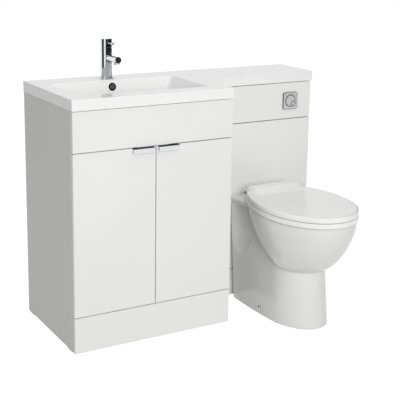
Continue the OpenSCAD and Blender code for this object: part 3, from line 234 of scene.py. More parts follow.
black_nylon_and_painted_shade = new_finish("black_nylon_and_painted_shade", (0.02, 0.02, 0.022), 0.5)
vary(black_nylon_and_painted_shade, "Roughness", 0.42, 0.6, 500.0)
relief(black_nylon_and_painted_shade, 0.00005, 700.0)
finish_node("glides", "nylon_glides", black_nylon_and_painted_shade, "unit", 0.0006)

# ---------------------------------------------------------------- fascia, plinths and WC panels
# Fixed fronts of 16 mm board, lacquered in white gloss on the face and all four edges. The
# lacquer keeps a faint orange peel and the panels meet in 3 mm shadow joints.

gloss_lacquer = new_finish("gloss_lacquer", (0.83, 0.83, 0.82), 0.12)
vary(gloss_lacquer, "Base Color", (0.82, 0.82, 0.81), (0.845, 0.845, 0.835), 2.2)
vary(gloss_lacquer, "Roughness", 0.09, 0.16, 30.0)
relief(gloss_lacquer, 0.00002, 260.0, 1.0)

for node, name in (
    ("fascia", "vanity_fascia"), ("plinth", "vanity_plinth"), ("wc_plinth", "cistern_plinth"),
    ("wc_upper_panel", "cistern_upper_panel"), ("wc_lower_panel", "cistern_lower_panel"),
):
    finish_node(node, name, gloss_lacquer, "unit", 0.0009)

# ---------------------------------------------------------------- doors
# Two slab doors of the same lacquered board, notched along the top for the edge pulls and
# bored behind for the hinge cups.

for node, name in (("door_left", "slab_door_left"), ("door_right", "slab_door_right")):
    finish_node(node, name, gloss_lacquer, node, 0.0009)

# ---------------------------------------------------------------- hinges
# Concealed hinges of pressed, nickel-plated steel: arms screwed to the sides, and cups let into
# the backs of the doors.

finish_node("hinge_arms", "concealed_hinge_arms", nickel, "unit", 0.0004)
finish_node("hinge_cups_left", "pressed_cups_left", nickel, "door_left", 0.0004)
finish_node("hinge_cups_right", "pressed_cups_right", nickel, "door_right", 0.0004)

# ---------------------------------------------------------------- screws
# Zinc-plated pan-head screws with a cross recess and a rolled thread. They hold the hinge
# plates, pull the sides and the fascia together and hang the cistern on its rail.

zinc = new_finish("zinc_plated_steel", (0.58, 0.59, 0.6), 0.32, 1.0)
vary(zinc, "Roughness", 0.24, 0.42, 180.0, 3.0)


def add_node(tree, kind, wires, **settings):
    """Adds a node, joins or sets its inputs and returns its first output."""
    node = tree.nodes.new(kind)
    for key, value in settings.items():
        setattr(node, key, value)
    for key, value in wires.items():
        for part in value if isinstance(value, list) else [value]:
            if isinstance(part, bpy.types.NodeSocket):
                tree.links.new(part, node.inputs[key])
            else:
                node.inputs[key].default_value = part
    return node.outputs[0]


def math_node(tree, way, first, second):
    return add_node(tree, "ShaderNodeMath", {0: first, 1: second}, operation=way)


def scaled(tree, value, share):
    return math_node(tree, "MULTIPLY", value, share)


def vector_node(tree, x, y, z):
    return add_node(tree, "ShaderNodeCombineXYZ", {"X": x, "Y": y, "Z": z})


def moved_up(tree, shape, z):
    way = vector_node(tree, 0.0, 0.0, z)
    return add_node(tree, "GeometryNodeTransform", {"Geometry": shape, "Translation": way})


def new_tree(name, sizes, counts=()):
    """An empty geometry tree with a named input for each size and each count."""
    tree = bpy.data.node_groups.new(name, "GeometryNodeTree")
    sockets = [("Geometry", "NodeSocketGeometry")]
    sockets += [(size, "NodeSocketFloat") for size in sizes]
    sockets += [(count, "NodeSocketInt") for count in counts]
    for socket, kind in sockets:
        tree.interface.new_socket(socket, in_out="INPUT", socket_type=kind)
    tree.interface.new_socket("Geometry", in_out="OUTPUT", socket_type="NodeSocketGeometry")
    return tree, tree.nodes.new("NodeGroupInput").outputs


def set_on_points(tree, seeds, shape, finish):
    """Puts a shape on each seed, upright along the seed's facing, and ends the tree."""
    attribute = "GeometryNodeInputNamedAttribute"
    facing = add_node(tree, attribute, {"Name": "facing"}, data_type="FLOAT_VECTOR")
    turn = add_node(tree, "FunctionNodeAlignRotationToVector", {"Vector": facing}, axis="Z")
    placing = {"Points": seeds, "Instance": shape, "Rotation": turn}
    placed = add_node(tree, "GeometryNodeInstanceOnPoints", placing)
    whole = add_node(tree, "GeometryNodeRealizeInstances", {"Geometry": placed})
    last = add_node(tree, "GeometryNodeSetMaterial", {"Geometry": whole, "Material": finish})
    tree.links.new(last, tree.nodes.new("NodeGroupOutput").inputs[0])


def plain_mesh(piece):
    """The mesh that a piece's modifiers give, as a mesh of its own."""
    graph = bpy.context.evaluated_depsgraph_get()
    return bpy.data.meshes.new_from_object(piece.evaluated_get(graph))


def run_tree(bm, tree, seeds, sizes):
    """Runs a tree over seeds of (place, facing), in metres, and adds the plain mesh to bm."""
    mesh = bpy.data.meshes.new("seeds")
    mesh.from_pydata([place for place, _ in seeds], [], [])
    facing = mesh.attributes.new("facing", "FLOAT_VECTOR", "POINT")
    facing.data.foreach_set("vector", [float(v) for _, way in seeds for v in way])
    holder = new_object("seeds", mesh)
    growth = holder.modifiers.new("growth", "NODES")
    growth.node_group = tree
    for item in tree.interface.items_tree:
        if item.name in sizes:
            growth[item.identifier] = sizes[item.name]
    bm.from_mesh(plain_mesh(holder))
    bpy.data.objects.remove(holder)


screw_sizes = ("Head Radius", "Head Height", "Shank Radius", "Length", "Pitch")
tree, size = new_tree("cross_recess_screw", screw_sizes)
head_r, head_h, shank_r, length, pitch = (size[name] for name in screw_sizes)
head = add_node(tree, "GeometryNodeMeshCone", {
    "Vertices": 20, "Radius Top": scaled(tree, head_r, 0.66), "Radius Bottom": head_r, "Depth": head_h})
slots = []
slot_long, slot_wide = scaled(tree, head_r, 1.15), scaled(tree, head_r, 0.24)
for x, y in ((slot_long, slot_wide), (slot_wide, slot_long)):
    bar = add_node(tree, "GeometryNodeMeshCube", {"Size": vector_node(tree, x, y, head_h)})
    slots.append(moved_up(tree, bar, scaled(tree, head_h, 0.9)))
crossed = {"Mesh 1": head, "Mesh 2": slots}
recess = add_node(tree, "GeometryNodeMeshBoolean", crossed, operation="DIFFERENCE")
shank = add_node(tree, "GeometryNodeMeshCylinder", {
    "Vertices": 12, "Radius": scaled(tree, shank_r, 0.8), "Depth": length})
shank = moved_up(tree, shank, scaled(tree, length, -0.49))
thread_r, thread_h = scaled(tree, shank_r, 0.82), scaled(tree, length, 0.9)
spiral = add_node(tree, "GeometryNodeCurveSpiral", {
    "Resolution": 10, "Rotations": math_node(tree, "DIVIDE", thread_h, pitch),
    "Start Radius": thread_r, "End Radius": thread_r, "Height": thread_h})
ridge = add_node(tree, "GeometryNodeCurvePrimitiveCircle", {
    "Resolution": 3, "Radius": scaled(tree, pitch, 0.26)})
thread = add_node(tree, "GeometryNodeCurveToMesh", {
    "Curve": spiral, "Profile Curve": ridge, "Fill Caps": True})
thread = moved_up(tree, thread, scaled(tree, length, -0.96))
screw = add_node(tree, "GeometryNodeJoinGeometry", {"Geometry": [recess, shank, thread]})
set_on_points(tree, size["Geometry"], screw, zinc)

bm = bmesh.new()
pan_head = {"Head Radius": 0.004, "Head Height": 0.002, "Shank Radius": 0.002}
hinge_seats = [((x, y, z), (way, 0, 0)) for x, way in ((-0.533, 1), (0.033, -1))
               for y in (-0.004, 0.01) for z in (0.2235, 0.5895)]
join_seats = [((0.035, y, z), (-1, 0, 0)) for y in (0.22, 0.34) for z in (0.24, 0.52)]
join_seats += [((x, -0.027, z), (0, 1, 0)) for x in (-0.43, -0.07) for z in (0.744, 0.804)]
cistern_seats = [((x, 0.361, 0.755), (0, -1, 0)) for x in (0.2, 0.4)]
for seats, screw_length, screw_pitch in (
    (hinge_seats, 0.013, 0.0014), (join_seats, 0.026, 0.0016), (cistern_seats, 0.015, 0.0016),
):
    run_tree(bm, tree, seats, {**pan_head, "Length": screw_length, "Pitch": screw_pitch})
place_piece(bm, "pan_head_screws", [zinc], "unit", ["carcass_screws"], smooth=30)

# ---------------------------------------------------------------- edge pulls
# Aluminium strip folded over the top edge of each door, polished and chrome plated, with a
# lip to pull on in front and a flange behind.

chrome = new_finish("polished_chrome", (0.80, 0.81, 0.83), 0.05, 1.0)
vary(chrome, "Roughness", 0.035, 0.08, 55.0)

satin_chrome = new_finish("satin_chrome", (0.74, 0.75, 0.77), 0.2, 1.0)
brushed_x = (0.05, 1, 1)
vary(satin_chrome, "Roughness", 0.14, 0.28, 420.0, 2.0, brushed_x)

# A dark chrome that is painted shade: it darkens the tops of the pulls, and the edges of the flush plate
# and its buttons.
painted_shade_chrome = new_finish("painted_shade_dark_chrome", (0.10, 0.10, 0.11), 0.45, 0.6)
vary(painted_shade_chrome, "Roughness", 0.38, 0.55, 300.0, 2.0, brushed_x)

for side in ("left", "right"):
    bm = closed_copy(f"pull_{side}")
    # The pull's upward faces get the dark chrome: painted shade for the slot between the fascia and the
    # pull.
    for face in bm.faces:
        if face.normal.z > 0.9:
            face.material_index = 1
    place_piece(bm, f"folded_pull_{side}", [satin_chrome, painted_shade_chrome], f"door_{side}",
                [f"pull_{side}"], edge=0.0004)

# ---------------------------------------------------------------- top and basin
# One casting of mineral resin in white gel coat: the L-shaped deck with its turned-down edge
# and the rectangular bowl, whose ends slope more than its front and rear. Dimensions in mm.

deck_top, deck_low, deck_soffit = 862.0, 824.0, 846.0
rim_roll = 2.5
bowl_box = (-499.0, -13.0, 2.0, 280.0)
bowl_floor, shell_floor, shell_wall = 762.0, 750.0, 12.0
bowl_fillet, shell_fillet, fillet_z = 32.0, 44.0, 794.0
bowl_corner, shell_corner = 16.0, 28.0
waste_x, waste_y, waste_hole = -256.0, 141.0, 22.4
turn_points = 14


def corner_ring(box, radius, z):
    """A rectangle with rounded corners, as a closed loop that always has the same point count."""
    x0, x1, y0, y1 = box
    loop = []
    for cx, cy, start in ((x1 - radius, y0 + radius, -90), (x1 - radius, y1 - radius, 0),
                          (x0 + radius, y1 - radius, 90), (x0 + radius, y0 + radius, 180)):
        for step in range(turn_points + 1):
            turn = math.radians(start + 90 * step / turn_points)
            loop.append((cx + radius * math.cos(turn), cy + radius * math.sin(turn), z))
    return loop


def bowl_ring(z, out, fillet):
    """Horizontal section of the bowl: straight sloping walls that run into a round bottom edge."""
    edge_z, lowest = 861.0, 7.0
    end_slope, side_slope = 52.0, 15.0
    insets = []
    for slope in (end_slope, side_slope):
        mid = slope + bowl_fillet
        run, drop = mid + out, edge_z - fillet_z
        reach = math.hypot(run, drop)
        lean = math.atan2(run, drop) - math.asin(fillet / reach)
        if z >= fillet_z - fillet * math.sin(lean):
            insets.append((edge_z - z) * math.tan(lean) - out)
        else:
            insets.append(mid - math.sqrt(max(fillet**2 - (fillet_z - z) ** 2, 0.0)))
    blend = min(max((z - fillet_z + lowest) / (edge_z + lowest - fillet_z), 0.0), 1.0)
    low_corner = math.sqrt(max(fillet**2 - max(fillet_z - z, lowest) ** 2, 0.0))
    corner = low_corner * (1 - blend) + (bowl_corner if out == 0 else shell_corner) * blend
    x0, x1, y0, y1 = bowl_box
    box = (x0 + insets[0], x1 - insets[0], y0 + insets[1], y1 - insets[1])
    return corner_ring(box, max(corner, 0.8), z)


def deck_outline(inset, z):
    """The L-shaped edge, drawn inwards by inset, with a hollow corner where the deck steps back."""
    corners = (
        (-552.0, -62.0, 1, 1, 3.0, 180), (52.0, -62.0, -1, 1, 3.0, 270),
        (52.0, 164.0, 1, -1, -22.0, 180), (552.0, 164.0, -1, 1, 3.0, 270),
        (552.0, 380.0, -1, -1, 1.5, 0), (-552.0, 380.0, 1, -1, 1.5, 90),
    )
    smallest, steps = 0.3, 8
    loop = []
    for x, y, sx, sy, radius, start in corners:
        hollow = radius < 0
        size = abs(radius) + inset if hollow else max(abs(radius) - inset, smallest)
        off = abs(radius) if hollow or abs(radius) > inset else inset + smallest
        cx, cy = x + sx * off, y + sy * off
        for step in range(steps + 1):
            turn = math.radians(start - 90 * step / steps if hollow else start + 90 * step / steps)
            loop.append((cx + size * math.cos(turn), cy + size * math.sin(turn), z))
    return loop


def circle(cx, cy, radius, z, count):
    turns = [2 * math.pi * k / count for k in range(count)]
    return [(cx + radius * math.cos(turn), cy + radius * math.sin(turn), z) for turn in turns]


def add_loop(bm, points):
    return [bm.verts.new([0.001 * v for v in p]) for p in points]


def skin(bm, first, second, flip=False):
    """Quads between two loops of equal count."""
    n = len(first)
    for k in range(n):
        face = [first[k], first[(k + 1) % n], second[(k + 1) % n], second[k]]
        bm.faces.new(face[::-1] if flip else face)


def lay_flat(bm, outline, holes, up):
    """A flat face with holes, between loops that are already there."""
    loops = [outline] + holes
    flat = [v for loop in loops for v in loop]
    for a, b, c in tessellate_polygon([[v.co for v in loop] for loop in loops]):
        face = bm.faces.new((flat[a], flat[b], flat[c]))
        face.normal_update()
        if face.normal.z * up < 0:
            face.normal_flip()


def skin_through(bm, loops, flip=False):
    for first, second in zip(loops, loops[1:]):
        skin(bm, first, second, flip)


bm = bmesh.new()
edge_loops = []
upper_round, lower_round = 2.2, 1.2
for t in np.radians((0, 30, 60, 90)):
    z = deck_top - upper_round * (1 - math.cos(t))
    edge_loops.append(add_loop(bm, deck_outline(upper_round * (1 - math.sin(t)), z)))
for t in np.radians((0, 45, 90)):
    z = deck_low + lower_round * (1 - math.sin(t))
    edge_loops.append(add_loop(bm, deck_outline(lower_round * (1 - math.cos(t)), z)))
skin_through(bm, edge_loops, flip=True)

roll = []
x0, x1, y0, y1 = bowl_box
for t in np.radians((0, 30, 60, 84)):
    out = rim_roll * (1 - math.sin(t))
    box = (x0 - out, x1 + out, y0 - out, y1 + out)
    z = deck_top - rim_roll * (1 - math.cos(t))
    roll.append(add_loop(bm, corner_ring(box, bowl_corner + out, z)))
steps = np.radians((12, 24, 34, 44, 56, 66, 75, 83, 90))
levels = [*np.linspace(854, fillet_z, 8), *(fillet_z - bowl_fillet * math.sin(t) for t in steps)]
bowl = roll + [add_loop(bm, bowl_ring(z, 0.0, bowl_fillet)) for z in levels]
floor_ring = bowl_ring(bowl_floor, 0.0, bowl_fillet)


def toward_waste(ring, share, z, radius):
    """Moves a ring of the floor towards the round waste hole."""
    loop = []
    for x, y, _ in ring:
        turn = math.atan2(y - waste_y, x - waste_x)
        goal_x, goal_y = waste_x + radius * math.cos(turn), waste_y + radius * math.sin(turn)
        loop.append((x + (goal_x - x) * share, y + (goal_y - y) * share, z))
    return loop


bowl += [add_loop(bm, toward_waste(floor_ring, share, bowl_floor, 30.0)) for share in (0.35, 0.7, 1.0)]
bowl += [add_loop(bm, toward_waste(floor_ring, 1.0, bowl_floor, waste_hole))]
steps = np.radians((4, 20, 36, 52, 66, 78, 90))
levels = [846.0, 834.0, 822.0, 810.0, *(fillet_z - shell_fillet * math.sin(t) for t in steps)]
shell = [add_loop(bm, bowl_ring(z, shell_wall, shell_fillet)) for z in levels]
shell_ring = bowl_ring(shell_floor, shell_wall, shell_fillet)
shell += [add_loop(bm, toward_waste(shell_ring, 0.5, shell_floor, 31.0)),
          add_loop(bm, toward_waste(shell_ring, 1.0, shell_floor, waste_hole))]
skin_through(bm, bowl, flip=True)
skin(bm, bowl[-1], shell[-1], flip=True)
skin_through(bm, shell)

tap_place, tap_hole = (-256.0, 326.0), 17.5
tap_upper = add_loop(bm, circle(*tap_place, tap_hole, deck_top, 32))
tap_lower = add_loop(bm, circle(*tap_place, tap_hole, deck_soffit, 32))
skin(bm, tap_upper, tap_lower, flip=True)
lay_flat(bm, edge_loops[0], [roll[0], tap_upper], 1)
pockets = []
for box in ((-531.0, 31.0, -23.0, 358.0), (69.0, 526.0, 184.0, 358.0)):
    mouth = add_loop(bm, corner_ring(box, 4.0, deck_low))
    ceiling = add_loop(bm, corner_ring(box, 4.0, deck_soffit))
    skin(bm, mouth, ceiling, flip=True)
    pockets.append((mouth, ceiling))
lay_flat(bm, edge_loops[-1], [pockets[0][0], pockets[1][0]], -1)
lay_flat(bm, pockets[0][1], [shell[0], tap_lower], -1)
lay_flat(bm, pockets[1][1], [], -1)
bmesh.ops.remove_doubles(bm, verts=bm.verts, dist=1e-6)
bmesh.ops.recalc_face_normals(bm, faces=bm.faces)

cast_resin = new_finish("cast_resin_gel_coat", (0.89, 0.89, 0.885), 0.16)
vary(cast_resin, "Base Color", (0.885, 0.885, 0.88), (0.9, 0.9, 0.895), 2.5)
vary(cast_resin, "Roughness", 0.15, 0.18, 25.0)
relief(cast_resin, 0.00001, 120.0, 1.0)
basin = place_piece(bm, "cast_basin_top", [cast_resin], "unit", ["basin_top"], smooth=50)


def rod(bm, axis, centre, start, end, radius, count=48):
    """A closed cylinder along X, Y or Z, in mm."""
    quarter = math.radians(90)
    turn = {0: Matrix.Rotation(quarter, 4, "Y"), 1: Matrix.Rotation(quarter, 4, "X"), 2: Matrix.Identity(4)}
    middle = list(centre)
    middle[axis] = (start + end) / 2
    place = Matrix.Translation([0.001 * v for v in middle]) @ turn[axis]
    bmesh.ops.create_cone(bm, cap_ends=True, segments=count, radius1=radius * 0.001,
                          radius2=radius * 0.001, depth=abs(end - start) * 0.001, matrix=place)


def cut_away(piece, cutter, way="DIFFERENCE"):
    """Applies a boolean with a throw-away body, before the piece's other modifiers."""
    mesh = bpy.data.meshes.new("cutter")
    cutter.to_mesh(mesh)
    cutter.free()
    body = new_object("cutter", mesh)
    kept = [(m.name, m.show_viewport) for m in piece.modifiers]
    for m in piece.modifiers:
        m.show_viewport = False
    cut = piece.modifiers.new("cut", "BOOLEAN")
    cut.operation = way
    cut.object = body
    cut.solver = "EXACT"
    done = plain_mesh(piece)
    piece.modifiers.remove(cut)
    for name, shown in kept:
        piece.modifiers[name].show_viewport = shown
    done.name = piece.name
    piece.data = done
    bpy.data.objects.remove(body)
    done.shade_smooth()
    done.set_sharp_from_angle(angle=math.radians(50))


low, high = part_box("overflow_ring")
overflow = [500 * (low[k] + high[k]) for k in range(3)]
overflow_radius = 11.2
cutter = bmesh.new()
rod(cutter, 1, overflow, overflow[1] - 12, overflow[1] + 24, overflow_radius)
cut_away(basin, cutter)

# ---------------------------------------------------------------- overflow, waste and trap
# Chromed brass: a ring round the overflow, a click waste with its domed cover and back nut, and
# a bottle trap whose cup unscrews. A white plastic pipe leads on into the wall.

finish_node("overflow_ring", "chrome_overflow_ring", chrome, "unit", 0.0006)
finish_node("waste_body", "click_waste_body", chrome, "unit", 0.0005)
finish_node("waste_plug", "click_waste_cover", chrome, "waste_plug", 0.0009)
finish_node("trap_body", "bottle_trap_body", chrome, "unit", 0.0012)
finish_node("waste_nut", "waste_back_nut", zinc, "unit", 0.0006)

white_plastic = new_finish("white_moulded_plastic", (0.76, 0.76, 0.74), 0.32)
vary(white_plastic, "Base Color", (0.74, 0.74, 0.72), (0.78, 0.78, 0.76), 9.0)
relief(white_plastic, 0.00002, 420.0)
finish_node("waste_pipe", "white_waste_pipe", white_plastic, "unit", 0.0005)

tree, size = new_tree("grip_ribs", ("Ring Radius", "Rib Radius", "Height"), ("Count",))
ring = add_node(tree, "GeometryNodeMeshCircle", {
    "Vertices": size["Count"], "Radius": size["Ring Radius"]})
rib = add_node(tree, "GeometryNodeMeshCylinder", {
    "Vertices": 8, "Radius": size["Rib Radius"], "Depth": size["Height"]})
ribs = add_node(tree, "GeometryNodeInstanceOnPoints", {"Points": ring, "Instance": rib})
set_on_points(tree, size["Geometry"], ribs, chrome)
bm = closed_copy("trap_cup")
low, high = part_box("trap_cup")
cup_grip = ((low.x + high.x) / 2, (low.y + high.y) / 2, 0.583)
rib_sizes = {"Count": 30, "Ring Radius": 0.032, "Rib Radius": 0.0009, "Height": 0.0084}
run_tree(bm, tree, [(cup_grip, (0, 0, 1))], rib_sizes)
place_piece(bm, "bottle_trap_cup", [chrome], "unit", ["trap_cup"], edge=0.0006)

# ---------------------------------------------------------------- tap
# Mono basin mixer in polished chrome: turned body with a straight spout, a cap that turns for
# the temperature and a pin lever with a ball end that lifts for the flow.

finish_node("tap_body", "mixer_body", chrome, "unit", 0.0008)
finish_node("tap_cap", "mixer_cap", chrome, "tap_cap", 0.0006)
finish_node("tap_lever", "mixer_pin_lever", chrome, "tap_lever", 0.0004)

tree, size = new_tree("outlet_grid", ("Radius", "Wire Width"), ("Wires",))
step = math_node(tree, "DIVIDE", scaled(tree, size["Radius"], 2.0), size["Wires"])
start = math_node(tree, "SUBTRACT", scaled(tree, step, 0.5), size["Radius"])
line = add_node(tree, "GeometryNodeMeshLine", {
    "Count": size["Wires"], "Offset": vector_node(tree, step, 0.0, 0.0),
    "Start Location": vector_node(tree, start, 0.0, 0.0)})
wire_length = scaled(tree, size["Radius"], 2.2)
wire = add_node(tree, "GeometryNodeMeshCube", {
    "Size": vector_node(tree, size["Wire Width"], wire_length, size["Wire Width"])})
rows = add_node(tree, "GeometryNodeInstanceOnPoints", {"Points": line, "Instance": wire})
rows = add_node(tree, "GeometryNodeRealizeInstances", {"Geometry": rows})
quarter_turn = (0.0, 0.0, math.pi / 2)
columns = add_node(tree, "GeometryNodeTransform", {"Geometry": rows, "Rotation": quarter_turn})
disc = add_node(tree, "GeometryNodeMeshCylinder", {
    "Vertices": 32, "Radius": size["Radius"], "Depth": 0.002})
round_parts = []
for wires in (rows, columns):
    both = {"Mesh 2": [wires, disc]}
    round_parts.append(add_node(tree, "GeometryNodeMeshBoolean", both, operation="INTERSECT"))
grid = add_node(tree, "GeometryNodeJoinGeometry", {"Geometry": round_parts})
set_on_points(tree, size["Geometry"], grid, zinc)
bm = closed_copy("tap_aerator")
low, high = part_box("tap_aerator")
outlet = ((low.x + high.x) / 2, (low.y + high.y) / 2, 0.9238)
grid_sizes = {"Radius": 0.0083, "Wires": 9, "Wire Width": 0.0005}
run_tree(bm, tree, [(outlet, (0, 0, -1))], grid_sizes)
place_piece(bm, "spout_aerator", [zinc], "unit", ["tap_aerator"])
finish_node("tap_cartridge", "ceramic_disc_cartridge", white_plastic, "unit", 0.0006)
finish_node("tap_fixing", "tap_clamp_and_stud", zinc, "unit", 0.0004)

# ---------------------------------------------------------------- cistern and flush
# Concealed cistern of blow-moulded white plastic on two screws, with its fill valve and float,
# the flush valve with its red sealing disc, the flush pipe and the rubber cone at the pan.

for node, name, body in (
    ("cistern_tank", "concealed_cistern", "unit"), ("cistern_cover", "cistern_lid_panel", "unit"),
    ("fill_valve", "inlet_valve", "unit"), ("fill_float", "inlet_float", "fill_float"),
    ("flush_valve", "flush_valve_cage", "unit"), ("flush_pipe", "flush_bend", "unit"),
    ("flush_housing", "button_housing", "unit"), ("pan_connector", "pan_to_soil_connector", "unit"),
):
    finish_node(node, name, white_plastic, body, 0.0008)
red_seal = new_finish("red_silicone_seal", (0.55, 0.05, 0.035), 0.4)
vary(red_seal, "Base Color", (0.5, 0.045, 0.03), (0.6, 0.06, 0.04), 60.0)
finish_node("flush_piston", "flush_sealing_piston", red_seal, "flush_piston", 0.0006)
black_rubber = new_finish("black_rubber", (0.018, 0.018, 0.018), 0.7)
vary(black_rubber, "Roughness", 0.6, 0.85, 260.0)
finish_node("flush_cone", "flush_cone_seal", black_rubber, "unit", 0.0008)

# ---------------------------------------------------------------- flush plate
# Square chrome plate with rounded corners over the hole in the upper panel, with a large round
# button and a small one let into its edge.

plate_chrome = new_finish("plate_satin_chrome", (0.60, 0.605, 0.62), 0.24, 1.0)
vary(plate_chrome, "Roughness", 0.2, 0.3, 300.0)

for node, name, body in (
    ("flush_bezel", "flush_plate_frame", "unit"),
    ("button_large", "full_flush_button", "button_large"),
    ("button_small", "half_flush_button", "button_small"),
):
    bm = closed_copy(node)
    face_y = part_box(node)[0].y
    front = []
    for face in bm.faces:
        if face.normal.y < -0.9 and abs(face.calc_center_median().y - face_y) < face_slack:
            front.append(face)
    bmesh.ops.inset_region(bm, faces=front, thickness=0.0013, depth=0.0, use_even_offset=True)
    # All but the front face inside a 1.3 mm border gets the dark chrome: painted shade round the plate's
    # outline and in the grooves round the buttons.
    for face in bm.faces:
        if face not in front:
            face.material_index = 1
    place_piece(bm, name, [plate_chrome, painted_shade_chrome], body, [node])

# ---------------------------------------------------------------- pan
# Back-to-wall pan in glazed vitreous china, cast in one with its foot. The bowl swells out of a
# plain column that has a deep hollow at each side under the flat ledge for the seat.

pan_x, pan_rear, rim_z, foot_turn = 300.0, 162.0, 405.0, -106.0
rim_egg, ledge_z = (165, -377, -160, 285), 387


def smooth_more(a, b, width):
    return np.maximum(a, b) + np.maximum(width - np.abs(a - b), 0.0) ** 2 / (4 * width)


def smooth_less(a, b, width):
    return np.minimum(a, b) - np.maximum(width - np.abs(a - b), 0.0) ** 2 / (4 * width)


nose_turn = np.radians(np.linspace(180, 360, 97))
flank_y = foot_turn + (pan_rear - foot_turn) * np.sin(np.radians(np.linspace(0, 90, 72)[1:]))


def ellipse_reach(turn, half_width, middle, length, start):
    """Distance from (0, start) to an ellipse round (0, middle), in the direction of turn."""
    c, s, d = np.cos(turn), np.sin(turn), start - middle
    a = (c / half_width) ** 2 + (s / length) ** 2
    b = 2 * s * d / length**2
    k = (d / length) ** 2 - 1
    return (-b + np.sqrt(np.maximum(b * b - 4 * a * k, 0.0))) / (2 * a)


def egg_reach(turn, egg, start):
    """The same distance to an egg, which is half of one ellipse and half of another."""
    half_width, front, middle, rear = egg
    near = ellipse_reach(turn, half_width, middle, rear, start)
    far = ellipse_reach(turn, half_width, middle, middle - front, start)
    return np.where(start + near * np.sin(turn) >= middle, near, far)


def egg_flank(y, egg):
    """Half the width of an egg at each y."""
    half_width, front, middle, rear = egg
    span = np.where(y < middle, middle - front, rear)
    return half_width * np.sqrt(np.maximum(1 - ((y - middle) / span) ** 2, 0.0))


def side_hollow(y, z):
    """How far out from the pan's middle plane its side hollow begins, at each y."""
    corners = np.array([(134.0, 100.0, 345.0), (134.0, 34.0, 343.0), (160.0, 90.0, 240.0)])
    hollow_radius, steps = 62.0, 14
    out = np.linspace(0, 200, 201)
    points = np.stack(np.broadcast_arrays(out[None, :], y[:, None], float(z)), -1).reshape(-1, 3)
    best = np.full(len(points), 1e9)
    weights = [(i / steps, j / steps) for i in range(steps + 1) for j in range(steps + 1 - i)]
    for u, v in weights:
        node = corners[0] * (1 - u - v) + corners[1] * u + corners[2] * v
        best = np.minimum(best, ((points - node) ** 2).sum(1))
    inside = (np.sqrt(best) < hollow_radius).reshape(len(y), -1)
    return np.where(inside.any(1), out[inside.argmax(1)], 400.0)


nose_stops = np.radians((180, 200, 218, 322, 340, 360))
nose_crease = np.interp(nose_turn, nose_stops, (235, 214, 207, 207, 214, 235))
flank_stops = (-106, -62, -35, -15, 0, 15, 30, 40)
flank_crease = np.interp(flank_y, flank_stops, (235, 264, 286, 312, 343, 370, 388, 396))


def swell(z, crease, column, rim):
    """How far the bowl stands out at one height: it swells from its crease to the egg of the rim."""
    fullness, fall = 1.6, 1.2
    up = np.clip((z - crease) / (rim_z - crease), 0.0, 1.0)
    grown = column + (rim - column) * (1 - (1 - up) ** fullness) ** (1 / fullness)
    return np.where(z > crease, grown, column - fall * (crease - z))


def pan_loop(z, inset=0.0):
    """One horizontal section of the pan's outside, from the left flank round the nose and back."""
    f = z / rim_z
    nose_w, side_w, corner = 108 - 14 * f, 108 + 10 * f, 40 - 32 * f
    nose = ellipse_reach(nose_turn, nose_w, foot_turn, 160 - 56 * f, foot_turn)
    bend_y = pan_rear - corner
    along = np.clip((flank_y - foot_turn) / (bend_y - foot_turn), 0, 1)
    flank = nose_w + (side_w - nose_w) * along + 3 * np.sin(np.pi * along)
    past = np.clip(flank_y - bend_y, 0, corner)
    flank = np.where(flank_y > bend_y, side_w - corner + np.sqrt(corner**2 - past**2), flank)
    column = flank.copy()
    if 150 < z < ledge_z:
        ease = min(max((ledge_z - z) / 8, 0.0), 1.0)
        hollow = side_hollow(flank_y, min(z, ledge_z - 4.0))
        carved = smooth_less(flank, hollow, 18.0)
        flank = flank + (carved - flank) * ease**0.5
    if z > 190:
        soft = 12.0 * min(1.0, (rim_z - z) / 60.0 + 0.1)
        rim_nose = egg_reach(nose_turn, rim_egg, foot_turn)
        rim_flank = egg_flank(flank_y, rim_egg)
        nose = smooth_more(nose, swell(z, nose_crease, nose, rim_nose), soft)
        flank = smooth_more(flank, swell(z, flank_crease, column, rim_flank), 1.6 * soft)
    set_back, set_back_z = 4.5, 362.0
    under_seat = set_back * max(0.0, (z - set_back_z) / (rim_z - set_back_z)) ** 2
    # The rim is set back under the seat, but less and less towards the rear.
    nose = nose - inset - under_seat
    flank = flank - inset - under_seat * np.clip((10.0 - flank_y) / 110.0, 0.0, 1.0)
    front = []
    for reach, turn in zip(nose, nose_turn):
        front.append((pan_x + reach * math.cos(turn), foot_turn + reach * math.sin(turn), z))
    rear_y = np.minimum(flank_y, pan_rear - inset)
    right = [(pan_x + x, y, z) for x, y in zip(flank, rear_y)]
    back = [(pan_x + flank[-1] * s, pan_rear - inset, z) for s in np.linspace(1, -1, 14)[1:-1]]
    left = [(pan_x - x, y, z) for x, y in zip(flank[::-1], rear_y[::-1])]
    return front + right + back + left


well_y = -100.0


def inner_loop(egg, z):
    """An egg-shaped section of the inside, with one point for each point of the outside."""
    reach = egg_reach(turns, egg, well_y)
    return list(zip(pan_x + reach * np.cos(turns), well_y + reach * np.sin(turns), [z] * len(turns)))


foot_edge = 2.5
lip = 7.0
outer = [pan_loop(0.0, foot_edge)]
for t in np.radians((30, 60, 90)):
    outer.append(pan_loop(foot_edge * (1 - math.cos(t)), foot_edge * (1 - math.sin(t))))
levels = [*np.linspace(12, 184, 15), *np.linspace(190, 300, 34), *np.linspace(304, 368, 14)]
outer += [pan_loop(z) for z in levels + [372, 376, 379, 381, 383, 385, 387, 391, 395]]
for t in np.radians((15, 35, 55, 75, 90)):
    outer.append(pan_loop(rim_z - lip * (1 - math.sin(t)), lip * (1 - math.cos(t))))
turns = np.array([math.atan2(y - well_y, x - pan_x) for x, y, _ in outer[-1]])

